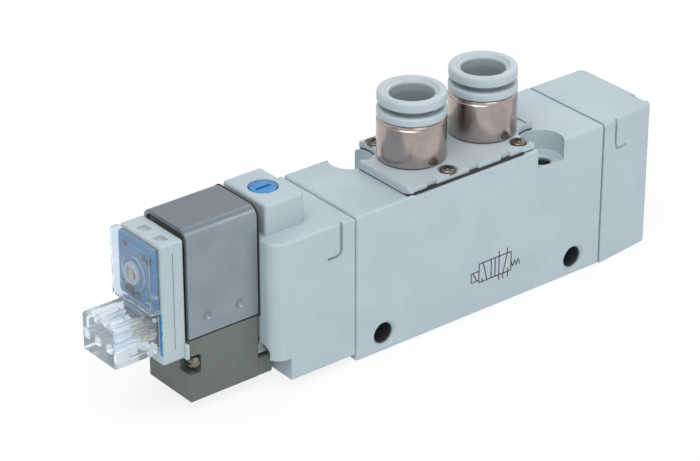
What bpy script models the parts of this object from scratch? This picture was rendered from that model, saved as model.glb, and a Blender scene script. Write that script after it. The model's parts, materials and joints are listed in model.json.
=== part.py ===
"""Body-ported 5/2 solenoid directional valve, pilot operated, with a spring return.

Metres, +Z up. Sizes are measured along the valve from the body's left face:
the pilot valve and its connector lie at -X, the end cover at +X, the printed
side faces -Y. The empty called valve then shifts everything so that X = 0 is
half way along the whole valve. Z = 0 is the underside of the body.
"""

import math

import bmesh
import bpy
from mathutils import Matrix, Vector

mm = 0.001

# Clearances
gap = 0.3 * mm  # between two fixed pieces that meet
slim_gap = 0.15 * mm  # around small pieces that sit in a pocket
past = 1.0 * mm  # how far a cutter runs past the face it opens

# Valve body
body_length = 47.0 * mm
body_width = 16.8 * mm
body_height = 23.3 * mm
edge_round = 0.35 * mm
bore_height = 11.8 * mm
bore_radius = 4.2 * mm
bore_groove_radius = 4.7 * mm
bore_groove_width = 2.4 * mm
service_pitch = 13.4 * mm  # between ports A and B, and so between the two fittings
exhaust_pitch = 22.6 * mm  # between the two exhaust ports
under_port_radius = 4.3 * mm
under_port_depth = 5.6 * mm
passage_radius = 1.1 * mm
mount_hole_radius = 1.4 * mm
mount_hole_pitch = 25.8 * mm
mount_hole_offset = 6.3 * mm
mount_recess_radius = 3.3 * mm
mount_recess_depth = 3.3 * mm
side_hole_radius = 1.65 * mm
side_hole_pitch = 36.5 * mm
side_hole_height = 2.7 * mm
side_hole_rim = 2.2 * mm
side_hole_rim_depth = 0.35 * mm

# Spool, piston and return spring
stroke = 2.4 * mm
spool_core_radius = 2.0 * mm
spool_land_radius = 3.7 * mm
spool_land_width = 2.2 * mm
spool_seal_width = 1.0 * mm
spool_seal_clearance = 0.15 * mm
spool_groove_radius = 3.0 * mm
piston_bore_radius = 5.6 * mm
piston_bore_depth = 7.8 * mm
piston_clearance = 0.4 * mm
piston_thickness = 4.4 * mm
piston_seal_width = 1.2 * mm
return_spring_radius = 2.45 * mm
return_spring_wire = 0.3 * mm
return_spring_turns = 7
spring_steps = 9  # straight stretches per turn of each spring

# Adapter plate, with the raised block of the manual override
adapter_length = 14.1 * mm
adapter_bottom = 1.4 * mm
adapter_corner = 2.2 * mm
adapter_notch_length = 2.8 * mm
adapter_notch_height = 3.5 * mm
block_left = 13.2 * mm  # from the body's left face
block_length = 6.7 * mm
block_width = 10.0 * mm
block_height = 28.0 * mm
hook_offset = 2.7 * mm
hook_depth = 5.0 * mm
hook_tail = 2.4 * mm
hook_groove = 0.5 * mm

# Manual override
override_radius = 2.0 * mm
override_length = 4.0 * mm
override_travel = 1.0 * mm
override_stem_radius = 0.9 * mm
override_stem_length = 4.9 * mm
override_spring_radius = 1.45 * mm
override_spring_wire = 0.2 * mm

# End cover
cover_length = 10.7 * mm
cover_taper = 1.1 * mm
cover_corner = 1.3 * mm
cover_chamfer = 0.9 * mm
spring_chamber_radius = 3.4 * mm
spring_chamber_depth = 8.9 * mm
seal_pocket_radius = 7.0 * mm
seal_pocket_depth = 0.75 * mm
seal_ring_width = 1.0 * mm

# Screws along the valve that hold the adapter plate and the end cover
tie_screw_y = 5.6 * mm
tie_screw_low = 5.6 * mm
tie_screw_high = 20.3 * mm
tie_screw_radius = 0.8 * mm
tie_screw_grip = 4.6 * mm
tie_head_radius = 1.25 * mm
tie_head_height = 1.2 * mm

# Port plate and its screws
plate_thickness = 0.95 * mm
plate_length = 28.2 * mm
plate_inset = 0.3 * mm
plate_screw_places = (  # from the plate's middle; the plate is the same turned half round
    (-5.6 * mm, -6.8 * mm),
    (-8.1 * mm, 6.5 * mm),
    (5.6 * mm, 6.8 * mm),
    (8.1 * mm, -6.5 * mm),
)
plate_screw_radius = 0.55 * mm
plate_screw_grip = 3.2 * mm
plate_head_radius = 1.2 * mm
plate_head_height = 0.9 * mm

# Push-in fittings for 6 mm tube
tube_radius = 3.0 * mm
fitting_radius = 5.1 * mm
fitting_shell_height = 6.45 * mm
fitting_bore_radius = 4.3 * mm
fitting_flow_radius = 1.6 * mm
stem_radius = 2.6 * mm
stem_length = 3.2 * mm
stem_socket_depth = 1.6 * mm
stem_socket_radius = 3.9 * mm
tube_stop_height = 1.35 * mm
seal_seat_height = 2.55 * mm
collar_height = 1.25 * mm
release_gap = 0.9 * mm
release_travel = 0.6 * mm
release_head_height = 1.55 * mm
release_wall = 0.45 * mm
tube_clearance = 0.05 * mm
fitting_sides = 28

# Pilot valve: dark base below, grey sheet cover above
pilot_length = 11.8 * mm
pilot_width = 10.0 * mm
pilot_bottom = 1.6 * mm
pilot_top = 28.3 * mm
base_top = 11.4 * mm
base_toe_length = 2.3 * mm
base_toe_height = 2.9 * mm
sheet = 0.6 * mm
sheet_round = 1.6 * mm
coil_axis_shift = 0.3 * mm  # the coil stands this much left of the pilot's middle
chamber_radius = 2.6 * mm
chamber_floor = 5.0 * mm
bobbin_radius = 4.1 * mm
bobbin_bore = 2.1 * mm
bobbin_wall = 0.45 * mm
bobbin_flange = 0.8 * mm
core_radius = 1.85 * mm
core_length = 6.6 * mm
armature_radius = 1.75 * mm
armature_foot_radius = 2.35 * mm
armature_foot_height = 0.6 * mm
armature_travel = 0.4 * mm
armature_spring_wire = 0.14 * mm
seat_height = 3.6 * mm
nozzle_radius = 0.8 * mm
nozzle_height = 0.45 * mm
pilot_screw_y = 3.9 * mm
pilot_screw_height = 7.5 * mm
pilot_screw_radius = 0.6 * mm
pilot_screw_grip = 4.6 * mm
pilot_head_radius = 1.1 * mm
pilot_head_height = 1.1 * mm
pilot_screw_recess = 2.6 * mm

# Plug connector
connector_length = 3.9 * mm
connector_width = 9.4 * mm
connector_bottom = 8.9 * mm
connector_top = 27.3 * mm
connector_pocket = 1.5 * mm
light_cover_length = 1.7 * mm
light_cover_bottom = 16.8 * mm
light_cover_wall = 0.5 * mm
board_thickness = 0.6 * mm
lamp_radius = 2.8 * mm
lamp_height = 21.4 * mm
plug_left = 38.0 * mm
plug_width = 7.8 * mm
plug_height = 6.0 * mm
plug_bottom = 10.5 * mm
plug_nose_length = 2.6 * mm
plug_nose_width = 7.2 * mm
plug_nose_height = 3.4 * mm
cavity_pitch = 2.7 * mm
cavity_radius = 0.75 * mm
contact_radius = 0.6 * mm
contact_length = 4.6 * mm
pin_radius = 0.2 * mm

# Places that follow from the sizes
half_width = body_width / 2
body_middle = body_length / 2
pilot_right = -(gap + adapter_length + gap)
pilot_left = pilot_right - pilot_length
coil_x = (pilot_left + pilot_right) / 2 - coil_axis_shift
connector_right = pilot_left - gap
connector_left = connector_right - connector_length
cover_left = body_length + gap
cover_right = cover_left + cover_length
plate_bottom = body_height + 0.25 * mm
plate_top = plate_bottom + plate_thickness
shell_bottom = plate_top + slim_gap
shell_top = shell_bottom + fitting_shell_height
collar_bottom = shell_top + slim_gap
collar_top = collar_bottom + collar_height
release_bottom = collar_top + release_gap
release_top = release_bottom + release_head_height
override_x = -block_left + block_length / 2
middle_x = (cover_right - plug_left) / 2
fitting_places = {
    "a": body_middle - service_pitch / 2,
    "b": body_middle + service_pitch / 2,
}
exhaust_places = (body_middle - exhaust_pitch / 2, body_middle + exhaust_pitch / 2)
groove_places = sorted([body_middle, *fitting_places.values(), *exhaust_places])


# Making and joining shapes


def clear_scene():
    for old in list(bpy.data.objects):
        bpy.data.objects.remove(old, do_unlink=True)


def finish_colour(name, colour, roughness, metallic=0.0, alpha=1.0):
    found = bpy.data.materials.get(name)
    if found:
        return found
    made = bpy.data.materials.new(name)
    made.use_nodes = True
    shader = made.node_tree.nodes["Principled BSDF"]
    shader.inputs["Base Color"].default_value = (*colour, 1.0)
    shader.inputs["Roughness"].default_value = roughness
    shader.inputs["Metallic"].default_value = metallic
    shader.inputs["Alpha"].default_value = alpha
    return made


def painted():
    return finish_colour("painted_casting", (0.62, 0.68, 0.71), 0.5)


def white_resin():
    return finish_colour("white_resin", (0.74, 0.78, 0.79), 0.45)


def dark_resin():
    return finish_colour("dark_resin", (0.16, 0.19, 0.18), 0.55)


def grey_sheet():
    return finish_colour("grey_sheet", (0.33, 0.37, 0.40), 0.4, 0.6)


def blue_resin():
    return finish_colour("blue_resin", (0.02, 0.20, 0.55), 0.4)


def clear_resin():
    return finish_colour("clear_resin", (0.75, 0.83, 0.90), 0.15, 0.0, 0.5)


def rubber():
    return finish_colour("black_rubber", (0.03, 0.03, 0.03), 0.8)


def nickel():
    return finish_colour("nickel_plated", (0.60, 0.56, 0.52), 0.22, 1.0)


def steel():
    return finish_colour("steel", (0.55, 0.56, 0.57), 0.3, 1.0)


def aluminium():
    return finish_colour("aluminium", (0.75, 0.76, 0.78), 0.35, 1.0)


def brass():
    return finish_colour("brass", (0.72, 0.55, 0.25), 0.3, 1.0)


def copper():
    return finish_colour("copper_wire", (0.60, 0.27, 0.12), 0.35, 1.0)


def box(low, high, bevel=0.0, along=None, segments=2):
    """Box between two corners. along names the axis of the edges to round; None rounds them all."""
    bm = bmesh.new()
    bmesh.ops.create_cube(bm, size=1.0)
    size = Vector(high) - Vector(low)
    middle = (Vector(high) + Vector(low)) / 2
    for vert in bm.verts:
        vert.co = Vector(v * s for v, s in zip(vert.co, size)) + middle
    if bevel:
        edges = [e for e in bm.edges if along is None or runs_along(e, along)]
        bmesh.ops.bevel(bm, geom=edges, offset=bevel, segments=segments, profile=0.5, affect="EDGES")
    return bm


def runs_along(edge, axis):
    way = (edge.verts[1].co - edge.verts[0].co).normalized()
    return abs(way["XYZ".index(axis)]) > 0.99


def turned(profile, at, axis="Z", sides=24):
    """Solid turned about an axis through at. profile holds (radius, distance along the axis) in order;
    it starts and ends on the axis, or else it is a closed ring."""
    bm = bmesh.new()
    rings = []
    for radius, along in profile:
        if radius == 0:
            rings.append([bm.verts.new((0, 0, along))])
            continue
        turns = (math.tau * step / sides for step in range(sides))
        rings.append([bm.verts.new((radius * math.cos(a), radius * math.sin(a), along)) for a in turns])
    pairs = list(zip(rings, rings[1:]))
    if profile[0][0] > 0:
        pairs.append((rings[-1], rings[0]))
    for low, high in pairs:
        for step in range(sides):
            after = (step + 1) % sides
            corners = [low[step % len(low)], low[after % len(low)], high[after % len(high)], high[step % len(high)]]
            bm.faces.new(list(dict.fromkeys(corners)))
    turn = {"Z": Matrix(), "X": Matrix.Rotation(math.pi / 2, 4, "Y"), "Y": Matrix.Rotation(-math.pi / 2, 4, "X")}
    bmesh.ops.transform(bm, matrix=Matrix.Translation(at) @ turn[axis], verts=bm.verts)
    bmesh.ops.recalc_face_normals(bm, faces=bm.faces)
    return bm


def rod(radius, start, end):
    """Profile of a plain rod, for turned()."""
    return [(0, start), (radius, start), (radius, end), (0, end)]


def tube(inner, outer, start, end):
    """Profile of a plain ring, for turned()."""
    return [(inner, start), (outer, start), (outer, end), (inner, end)]


def extruded(outline, axis, start, end):
    """Prism of an outline in the two other axes, in X, Y, Z order."""
    bm = bmesh.new()
    ends = []
    for along in (start, end):
        points = []
        for u, v in outline:
            point = [u, v]
            point.insert("XYZ".index(axis), along)
            points.append(bm.verts.new(point))
        ends.append(points)
    for face in ends:
        bm.faces.new(face)
    for step in range(len(outline)):
        after = (step + 1) % len(outline)
        bm.faces.new((ends[0][step], ends[0][after], ends[1][after], ends[1][step]))
    bmesh.ops.recalc_face_normals(bm, faces=bm.faces)
    return bm


def mesh_object(name, bm, origin):
    bmesh.ops.translate(bm, vec=-Vector(origin), verts=bm.verts)
    mesh = bpy.data.meshes.new(name)
    bm.to_mesh(mesh)
    bm.free()
    mesh.shade_smooth()
    mesh.set_sharp_from_angle(angle=math.radians(32))
    made = bpy.data.objects.new(name, mesh)
    bpy.context.scene.collection.objects.link(made)
    made.location = origin
    made.parent = bpy.data.objects["valve"]
    return made


def piece(name, bm, finish, origin=(0, 0, 0)):
    made = mesh_object(name, bm, origin)
    made.data.materials.append(finish)
    return made


def change(target, bm, operation):
    helper = mesh_object(f"{target.name}_{operation.lower()}_{len(target.modifiers)}", bm, (0, 0, 0))
    helper.hide_render = True
    helper.display_type = "WIRE"
    boolean = target.modifiers.new(helper.name, "BOOLEAN")
    boolean.operation = operation
    boolean.solver = "EXACT"
    boolean.object = helper


def cut(target, bm):
    change(target, bm, "DIFFERENCE")


def fuse(target, bm):
    change(target, bm, "UNION")


def spring(name, at, axis, start, end, radius, wire, turns, finish):
    """Round-wire compression spring along an axis through at."""
    steps = turns * spring_steps
    curve = bpy.data.curves.new(name, "CURVE")
    curve.dimensions = "3D"
    line = curve.splines.new("POLY")
    line.points.add(steps)
    low = start + wire
    high = end - wire
    for step, point in enumerate(line.points):
        a = math.tau * turns * step / steps
        along = low + (high - low) * step / steps
        spot = Vector((radius * math.cos(a), radius * math.sin(a), along))
        if axis == "X":
            spot = Vector((spot.z, spot.y, spot.x))
        point.co = (*spot, 1.0)
    curve.bevel_depth = wire
    curve.bevel_resolution = 0
    curve.use_fill_caps = True
    curve.materials.append(finish)
    made = bpy.data.objects.new(name, curve)
    bpy.context.scene.collection.objects.link(made)
    made.location = at
    made.parent = bpy.data.objects["valve"]
    return made


def screw(name, at, axis, seat, tip, shank, head, head_height, sides=12):
    """Cross-recessed screw along an axis through at. The head's underside is at seat, the point at tip."""
    out = 1 if seat > tip else -1
    top = seat + out * head_height
    profile = [(0, tip), (shank * 0.7, tip), (shank, tip + out * shank * 0.5), (shank, seat), (head, seat)]
    profile += [(head, seat + out * head_height * 0.55), (head * 0.8, top), (0, top)]
    made = piece(name, turned(profile, at, axis, sides), steel(), at)
    long, thin, depth = head * 0.62, head * 0.13, head_height * 0.55
    for size in ((long, thin), (thin, long)):
        size = list(size)
        size.insert("XYZ".index(axis), depth)
        middle = Vector(at)
        middle["XYZ".index(axis)] += top
        cut(made, box(middle - Vector(size), middle + Vector(size)))
    return made


# Body and what closes it


def build_body():
    body = piece(
        "valve_body",
        box((0, -half_width, 0), (body_length, half_width, body_height), edge_round),
        painted(),
    )
    bore = [(0, -past), (bore_radius, -past)]
    for place in groove_places:
        start, end = place - bore_groove_width / 2, place + bore_groove_width / 2
        bore += [(bore_radius, start), (bore_groove_radius, start), (bore_groove_radius, end), (bore_radius, end)]
    bore += [(bore_radius, body_length + past), (0, body_length + past)]
    cut(body, turned(bore, (0, 0, bore_height), "X", 24))
    for place in (exhaust_places[0], body_middle, exhaust_places[1]):
        port = [(0, -past), (under_port_radius, -past), (under_port_radius, under_port_depth)]
        port += [(passage_radius, under_port_depth), (passage_radius, bore_height), (0, bore_height)]
        cut(body, turned(port, (place, 0, 0), "Z", 20))
    for place in fitting_places.values():
        socket = body_height - stem_socket_depth
        stem_end = shell_bottom - stem_length - gap
        port = [(0, bore_height), (passage_radius, bore_height), (passage_radius, stem_end)]
        port += [(stem_radius + gap, stem_end), (stem_radius + gap, socket), (stem_socket_radius, socket)]
        port += [(stem_socket_radius, body_height + past), (0, body_height + past)]
        cut(body, turned(port, (place, 0, 0), "Z", 20))
    for side in (-1, 1):
        recess = body_height - mount_recess_depth
        hole = [(0, -past), (mount_hole_radius, -past), (mount_hole_radius, recess), (mount_recess_radius, recess)]
        hole += [(mount_recess_radius, body_height + past), (0, body_height + past)]
        cut(body, turned(hole, mount_place(side), "Z", 24))
        cut(body, side_hole(body_middle + side * side_hole_pitch / 2))
        for place, height in tie_screw_places(side):
            start = -past if side < 0 else body_length - tie_screw_grip - gap
            end = tie_screw_grip + gap if side < 0 else body_length + past
            cut(body, turned(rod(tie_screw_radius + slim_gap, start, end), (0, place, height), "X", 8))
    for x, y in plate_screw_places:
        hole = rod(plate_screw_radius + slim_gap, body_height - plate_screw_grip - gap, body_height + past)
        cut(body, turned(hole, (body_middle + x, y, 0), "Z", 8))


def mount_place(side):
    """Top mounting holes: one at the back left, one at the front right."""
    return (body_middle + side * mount_hole_pitch / 2, -side * mount_hole_offset, 0)


def side_hole(place):
    rim_end = half_width - side_hole_rim_depth
    profile = [(0, -half_width - past), (side_hole_rim, -half_width - past), (side_hole_rim, -rim_end)]
    profile += [(side_hole_radius, -rim_end), (side_hole_radius, rim_end), (side_hole_rim, rim_end)]
    profile += [(side_hole_rim, half_width + past), (0, half_width + past)]
    return turned(profile, (place, 0, side_hole_height), "Y", 20)


def tie_screw_places(side):
    """(y, z) of the two screws at one end of the body; side is -1 at the adapter plate."""
    return ((-side * tie_screw_y, tie_screw_high), (side * tie_screw_y, tie_screw_low))


def build_adapter():
    right = -gap
    left = right - adapter_length
    shape = box((left, -half_width, adapter_bottom), (right, half_width, body_height))
    corners = [e for e in shape.edges if runs_along(e, "Z") and e.verts[0].co.x < left + mm]
    bmesh.ops.bevel(shape, geom=corners, offset=adapter_corner, segments=3, profile=0.5, affect="EDGES")
    adapter = piece("adapter_plate", shape, painted())
    block_low = (-block_left, -block_width / 2, bore_height + piston_bore_radius + 2 * mm)
    block_high = (-block_left + block_length, block_width / 2, block_height)
    fuse(adapter, box(block_low, block_high, edge_round))
    notch_high = (left + adapter_notch_length, half_width + past, adapter_bottom + adapter_notch_height)
    cut(adapter, box((left - past, -half_width - past, adapter_bottom - past), notch_high))
    pocket = right - seal_pocket_depth
    bore = [(0, -piston_bore_depth), (piston_bore_radius, -piston_bore_depth), (piston_bore_radius, pocket)]
    bore += [(seal_pocket_radius, pocket), (seal_pocket_radius, past), (0, past)]
    cut(adapter, turned(bore, (0, 0, bore_height), "X", 24))
    stem_hole = override_stem_radius + 0.25 * mm
    well = [(0, bore_height), (stem_hole, bore_height), (stem_hole, override_floor())]
    well += [(override_radius + slim_gap, override_floor()), (override_radius + slim_gap, block_height + past)]
    cut(adapter, turned([*well, (0, block_height + past)], (override_x, 0, 0), "Z", 24))
    cut(adapter, turned(rod(0.7 * mm, left - past, -piston_bore_depth + past), (0, 0, pilot_screw_height), "X", 12))
    for side in (-1, 1):
        hole = rod(pilot_screw_radius + slim_gap, left - past, left + pilot_screw_grip + gap)
        cut(adapter, turned(hole, (0, side * pilot_screw_y, pilot_screw_height), "X", 12))
        hook_cut(adapter, -hook_offset, -1, side, body_height)
    for place, height in tie_screw_places(-1):
        seat = left + tie_head_height + 1.0 * mm
        hole = [(0, left - past), (tie_head_radius + slim_gap, left - past), (tie_head_radius + slim_gap, seat)]
        hole += [(tie_screw_radius + slim_gap, seat), (tie_screw_radius + slim_gap, past), (0, past)]
        cut(adapter, turned(hole, (0, place, height), "X", 12))
        at = (0, place, height)
        name = "adapter_screw_high" if height == tie_screw_high else "adapter_screw_low"
        screw(name, at, "X", seat - slim_gap, tie_screw_grip, tie_screw_radius, tie_head_radius, tie_head_height)


def hook_cut(target, place, way, side, top):
    """L-shaped slit of a moulded hook, on one side face. way points to the hook's free end."""
    front = sorted((side * (half_width - hook_groove), side * (half_width + past)))
    low = top - hook_depth
    across = sorted((place, place + way * hook_tail))
    cut(target, box((place - hook_groove / 2, front[0], low), (place + hook_groove / 2, front[1], top + past)))
    cut(target, box((across[0], front[0], low - hook_groove / 2), (across[1], front[1], low + hook_groove / 2)))


def is_top_front(edge):
    """Whether an edge of the end cover's block is the long one at the top of its front face."""
    return all(v.co.z > body_height / 2 and v.co.y < cover_corner - half_width for v in edge.verts)


def build_end_cover():
    front = -half_width + cover_taper
    outline = [(cover_left, -half_width), (cover_right - cover_corner, front), (cover_right, front + cover_corner)]
    outline += [(cover_right, half_width - cover_corner), (cover_right - cover_corner, half_width)]
    shape = extruded([*outline, (cover_left, half_width)], "Z", 0, body_height)
    top_front = [e for e in shape.edges if is_top_front(e)]
    bmesh.ops.bevel(shape, geom=top_front, offset=cover_chamfer, segments=2, profile=0.5, affect="EDGES")
    right_top = [e for e in shape.edges if all(v.co.z > body_height / 2 and v.co.x > cover_left + mm for v in e.verts)]
    bmesh.ops.bevel(shape, geom=right_top, offset=edge_round, segments=1, profile=0.5, affect="EDGES")
    cover = piece("end_cover", shape, painted())
    pocket = cover_left + seal_pocket_depth
    chamber = [(0, cover_left - past), (seal_pocket_radius, cover_left - past), (seal_pocket_radius, pocket)]
    chamber += [(spring_chamber_radius, pocket), (spring_chamber_radius, cover_left + spring_chamber_depth)]
    cut(cover, turned([*chamber, (0, cover_left + spring_chamber_depth)], (0, 0, bore_height), "X", 24))
    for side in (-1, 1):
        hook_cut(cover, body_length + hook_offset, 1, side, body_height)
    seat = cover_right - tie_head_height - 1.6 * mm
    for place, height in tie_screw_places(1):
        hole = [(0, cover_left - past), (tie_screw_radius + slim_gap, cover_left - past)]
        hole += [(tie_screw_radius + slim_gap, seat), (tie_head_radius + slim_gap, seat)]
        hole += [(tie_head_radius + slim_gap, cover_right + past), (0, cover_right + past)]
        cut(cover, turned(hole, (0, place, height), "X", 12))
        tip = body_length - tie_screw_grip
        name = "end_cover_screw_high" if height == tie_screw_high else "end_cover_screw_low"
        at = (0, place, height)
        screw(name, at, "X", seat + slim_gap, tip, tie_screw_radius, tie_head_radius, tie_head_height)


def build_end_seals():
    inner = seal_pocket_radius - slim_gap - seal_ring_width
    outer = seal_pocket_radius - slim_gap
    at = (0, 0, bore_height)
    start = -gap - seal_pocket_depth + slim_gap
    piece("adapter_gasket", turned(tube(inner, outer, start, -slim_gap), at, "X", 20), rubber())
    end = cover_left + seal_pocket_depth - slim_gap
    piece("end_cover_gasket", turned(tube(inner, outer, body_length + slim_gap, end), at, "X", 20), rubber())


# Port plate and push-in fittings


def build_port_plate():
    left, right = body_middle - plate_length / 2, body_middle + plate_length / 2
    edge = half_width - plate_inset
    plate = piece(
        "port_plate",
        box((left, -edge, plate_bottom), (right, edge, plate_top), 0.25 * mm),
        white_resin(),
    )
    for side in (-1, 1):
        clear = rod(mount_recess_radius + gap, plate_bottom - past, plate_top + past)
        cut(plate, turned(clear, mount_place(side), "Z", 24))
    for place in fitting_places.values():
        hole = rod(stem_radius + slim_gap, plate_bottom - past, plate_top + past)
        cut(plate, turned(hole, (place, 0, 0), "Z", 16))
    for number, (x, y) in enumerate(plate_screw_places, 1):
        at = (body_middle + x, y, 0)
        hole = rod(plate_screw_radius + slim_gap, plate_bottom - past, plate_top + past)
        cut(plate, turned(hole, at, "Z", 8))
        tip = body_height - plate_screw_grip
        seat = plate_top + slim_gap
        name = f"plate_screw_{number}"
        screw(name, at, "Z", seat, tip, plate_screw_radius, plate_head_radius, plate_head_height)


def build_fitting(name, place):
    at = (place, 0, 0)
    stop = shell_bottom + tube_stop_height
    seat = shell_bottom + seal_seat_height
    round_off = 0.2 * mm
    bore = tube_radius + 0.15 * mm
    shell = [(fitting_flow_radius, shell_bottom - stem_length), (stem_radius, shell_bottom - stem_length)]
    shell += [(stem_radius, shell_bottom), (fitting_radius - round_off, shell_bottom)]
    shell += [(fitting_radius, shell_bottom + round_off), (fitting_radius, shell_top - round_off)]
    shell += [(fitting_radius - round_off, shell_top), (fitting_bore_radius, shell_top), (fitting_bore_radius, seat)]
    shell += [(bore, seat), (bore, stop), (fitting_flow_radius, stop)]
    piece(f"fitting_shell_{name}", turned(shell, at, "Z", fitting_sides), nickel())

    inside = fitting_bore_radius - slim_gap
    seal_start = seat + slim_gap
    seal_end = seal_start + 1.1 * mm
    lip = tube_radius + tube_clearance
    ring = [(lip, seal_start + 0.3 * mm), (inside, seal_start), (inside, seal_end), (lip, seal_end - 0.3 * mm)]
    piece(f"tube_seal_{name}", turned(ring, at, "Z", 20), rubber())

    chuck_start = seal_end + 0.25 * mm
    teeth = [(lip, chuck_start), (lip + 0.2 * mm, chuck_start), (inside, chuck_start + 0.7 * mm)]
    teeth += [(inside, chuck_start + 1.1 * mm), (inside - 0.3 * mm, chuck_start + 1.1 * mm)]
    piece(f"tube_chuck_{name}", turned(teeth, at, "Z", 20), steel())

    sleeve = tube_radius + tube_clearance
    sleeve_outer = sleeve + release_wall
    guide = sleeve_outer + 0.2 * mm
    spigot = shell_top - 1.1 * mm
    collar = [(guide, spigot), (inside, spigot), (inside, collar_bottom), (fitting_radius - round_off, collar_bottom)]
    collar += [(fitting_radius, collar_bottom + round_off), (fitting_radius, collar_top - round_off)]
    collar += [(fitting_radius - round_off, collar_top), (guide, collar_top)]
    piece(f"fitting_collar_{name}", turned(collar, at, "Z", fitting_sides), white_resin())

    head = fitting_radius - 0.05 * mm
    sleeve_end = chuck_start + 1.1 * mm + release_travel + gap
    bushing = [(sleeve, sleeve_end), (sleeve_outer, sleeve_end), (sleeve_outer, release_bottom)]
    bushing += [(head - round_off, release_bottom), (head, release_bottom + round_off)]
    bushing += [(head, release_top - 2 * round_off), (head - 2 * round_off, release_top)]
    bushing += [(sleeve + 0.6 * mm, release_top), (sleeve + 0.2 * mm, release_top - 0.4 * mm)]
    bushing += [(sleeve, release_top - 0.9 * mm)]
    piece(f"release_bushing_{name}", turned(bushing, at, "Z", fitting_sides), white_resin(), at)

    under = body_height - stem_socket_depth + slim_gap
    outer = stem_socket_radius - slim_gap
    seal = tube(stem_radius + slim_gap, outer, under, plate_bottom - slim_gap)
    piece(f"port_seal_{name}", turned(seal, at, "Z", 16), rubber())


# Spool, piston and springs


def seal_places():
    """Middles of the six spool seals at rest. Shifting by the stroke moves each across a land."""
    reach = bore_groove_width / 2
    first, second = groove_places[0], groove_places[1]
    middle = groove_places[2]
    fourth, last = groove_places[3], groove_places[4]
    half = spool_seal_width / 2
    return (
        first / 2 - stroke / 2,
        first,
        middle - reach - half - 0.8 * mm,
        middle + reach - half - 0.2 * mm,
        fourth + reach + half + 0.1 * mm,
        (last + body_length) / 2 - stroke / 2,
    )


def spool_start():
    return 0.6 * mm


def spring_seat():
    """Where the return spring stands on the spool."""
    return seal_places()[-1] + spool_land_width / 2 + 2.2 * mm


def build_spool():
    at = (0, 0, bore_height)
    profile = [(0, spool_start()), (spool_core_radius, spool_start())]
    groove = spool_seal_width + 2 * 0.2 * mm
    for place in seal_places():
        low, high = place - spool_land_width / 2, place + spool_land_width / 2
        profile += [(spool_core_radius, low), (spool_land_radius, low), (spool_land_radius, place - groove / 2)]
        profile += [(spool_groove_radius, place - groove / 2), (spool_groove_radius, place + groove / 2)]
        profile += [(spool_land_radius, place + groove / 2), (spool_land_radius, high), (spool_core_radius, high)]
    seat = spring_seat()
    pin = return_spring_radius - return_spring_wire - 0.35 * mm
    profile += [(spool_core_radius, seat - 1.2 * mm), (spool_groove_radius, seat - 1.2 * mm)]
    profile += [(spool_groove_radius, seat), (pin, seat), (pin, seat + 2 * mm), (0, seat + 2 * mm)]
    piece("spool", turned(profile, at, "X", 12), aluminium(), at)
    inner = spool_groove_radius + spool_seal_clearance
    outer = bore_radius - spool_seal_clearance
    for number, place in enumerate(seal_places(), 1):
        half = spool_seal_width / 2
        ring = tube(inner, outer, place - half, place + half)
        piece(f"spool_seal_{number}", turned(ring, at, "X", 12), rubber(), at)


def build_piston():
    at = (0, 0, bore_height)
    right = -stroke - 0.5 * mm
    left = right - piston_thickness
    radius = piston_bore_radius - piston_clearance
    half = piston_seal_width / 2
    middle = (left + right) / 2
    groove = radius - 0.9 * mm
    hub = bore_radius - 1.8 * mm
    profile = [(0, left), (radius, left), (radius, middle - half - 0.2 * mm), (groove, middle - half - 0.2 * mm)]
    profile += [(groove, middle + half + 0.2 * mm), (radius, middle + half + 0.2 * mm), (radius, right)]
    profile += [(hub, right), (hub, spool_start() - gap), (0, spool_start() - gap)]
    piece("piston", turned(profile, at, "X", 20), white_resin(), at)
    inner = groove + slim_gap
    outer = piston_bore_radius - 0.1 * mm
    ring = [(inner, middle - half), (outer, middle - half), (outer - 0.4 * mm, middle), (outer, middle + half)]
    piece("piston_seal", turned([*ring, (inner, middle + half)], at, "X", 20), rubber(), at)


def build_return_spring():
    end = cover_left + spring_chamber_depth - slim_gap
    start = spring_seat() + slim_gap
    at = (0, 0, bore_height)
    radius, wire = return_spring_radius, return_spring_wire
    spring("return_spring", at, "X", start, end, radius, wire, return_spring_turns, steel())


def override_floor():
    return block_height - override_length - override_travel - 3.3 * mm


def build_override():
    at = (override_x, 0, 0)
    top = block_height - 0.1 * mm
    shoulder = top - override_length
    edge = 0.2 * mm
    profile = [(0, shoulder - override_stem_length), (override_stem_radius, shoulder - override_stem_length)]
    profile += [(override_stem_radius, shoulder), (override_radius, shoulder), (override_radius, top - edge)]
    profile += [(override_radius - edge, top), (0, top)]
    button = piece("override_button", turned(profile, at, "Z", 24), blue_resin(), at)
    slot = (1.3 * mm, 0.3 * mm, 0.5 * mm)
    middle = Vector((override_x, 0, top))
    cut(button, box(middle - Vector(slot), middle + Vector(slot)))
    low, high = override_floor() + slim_gap, shoulder - slim_gap
    spring("override_spring", at, "Z", low, high, override_spring_radius, override_spring_wire, 5, steel())


# Pilot valve


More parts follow.
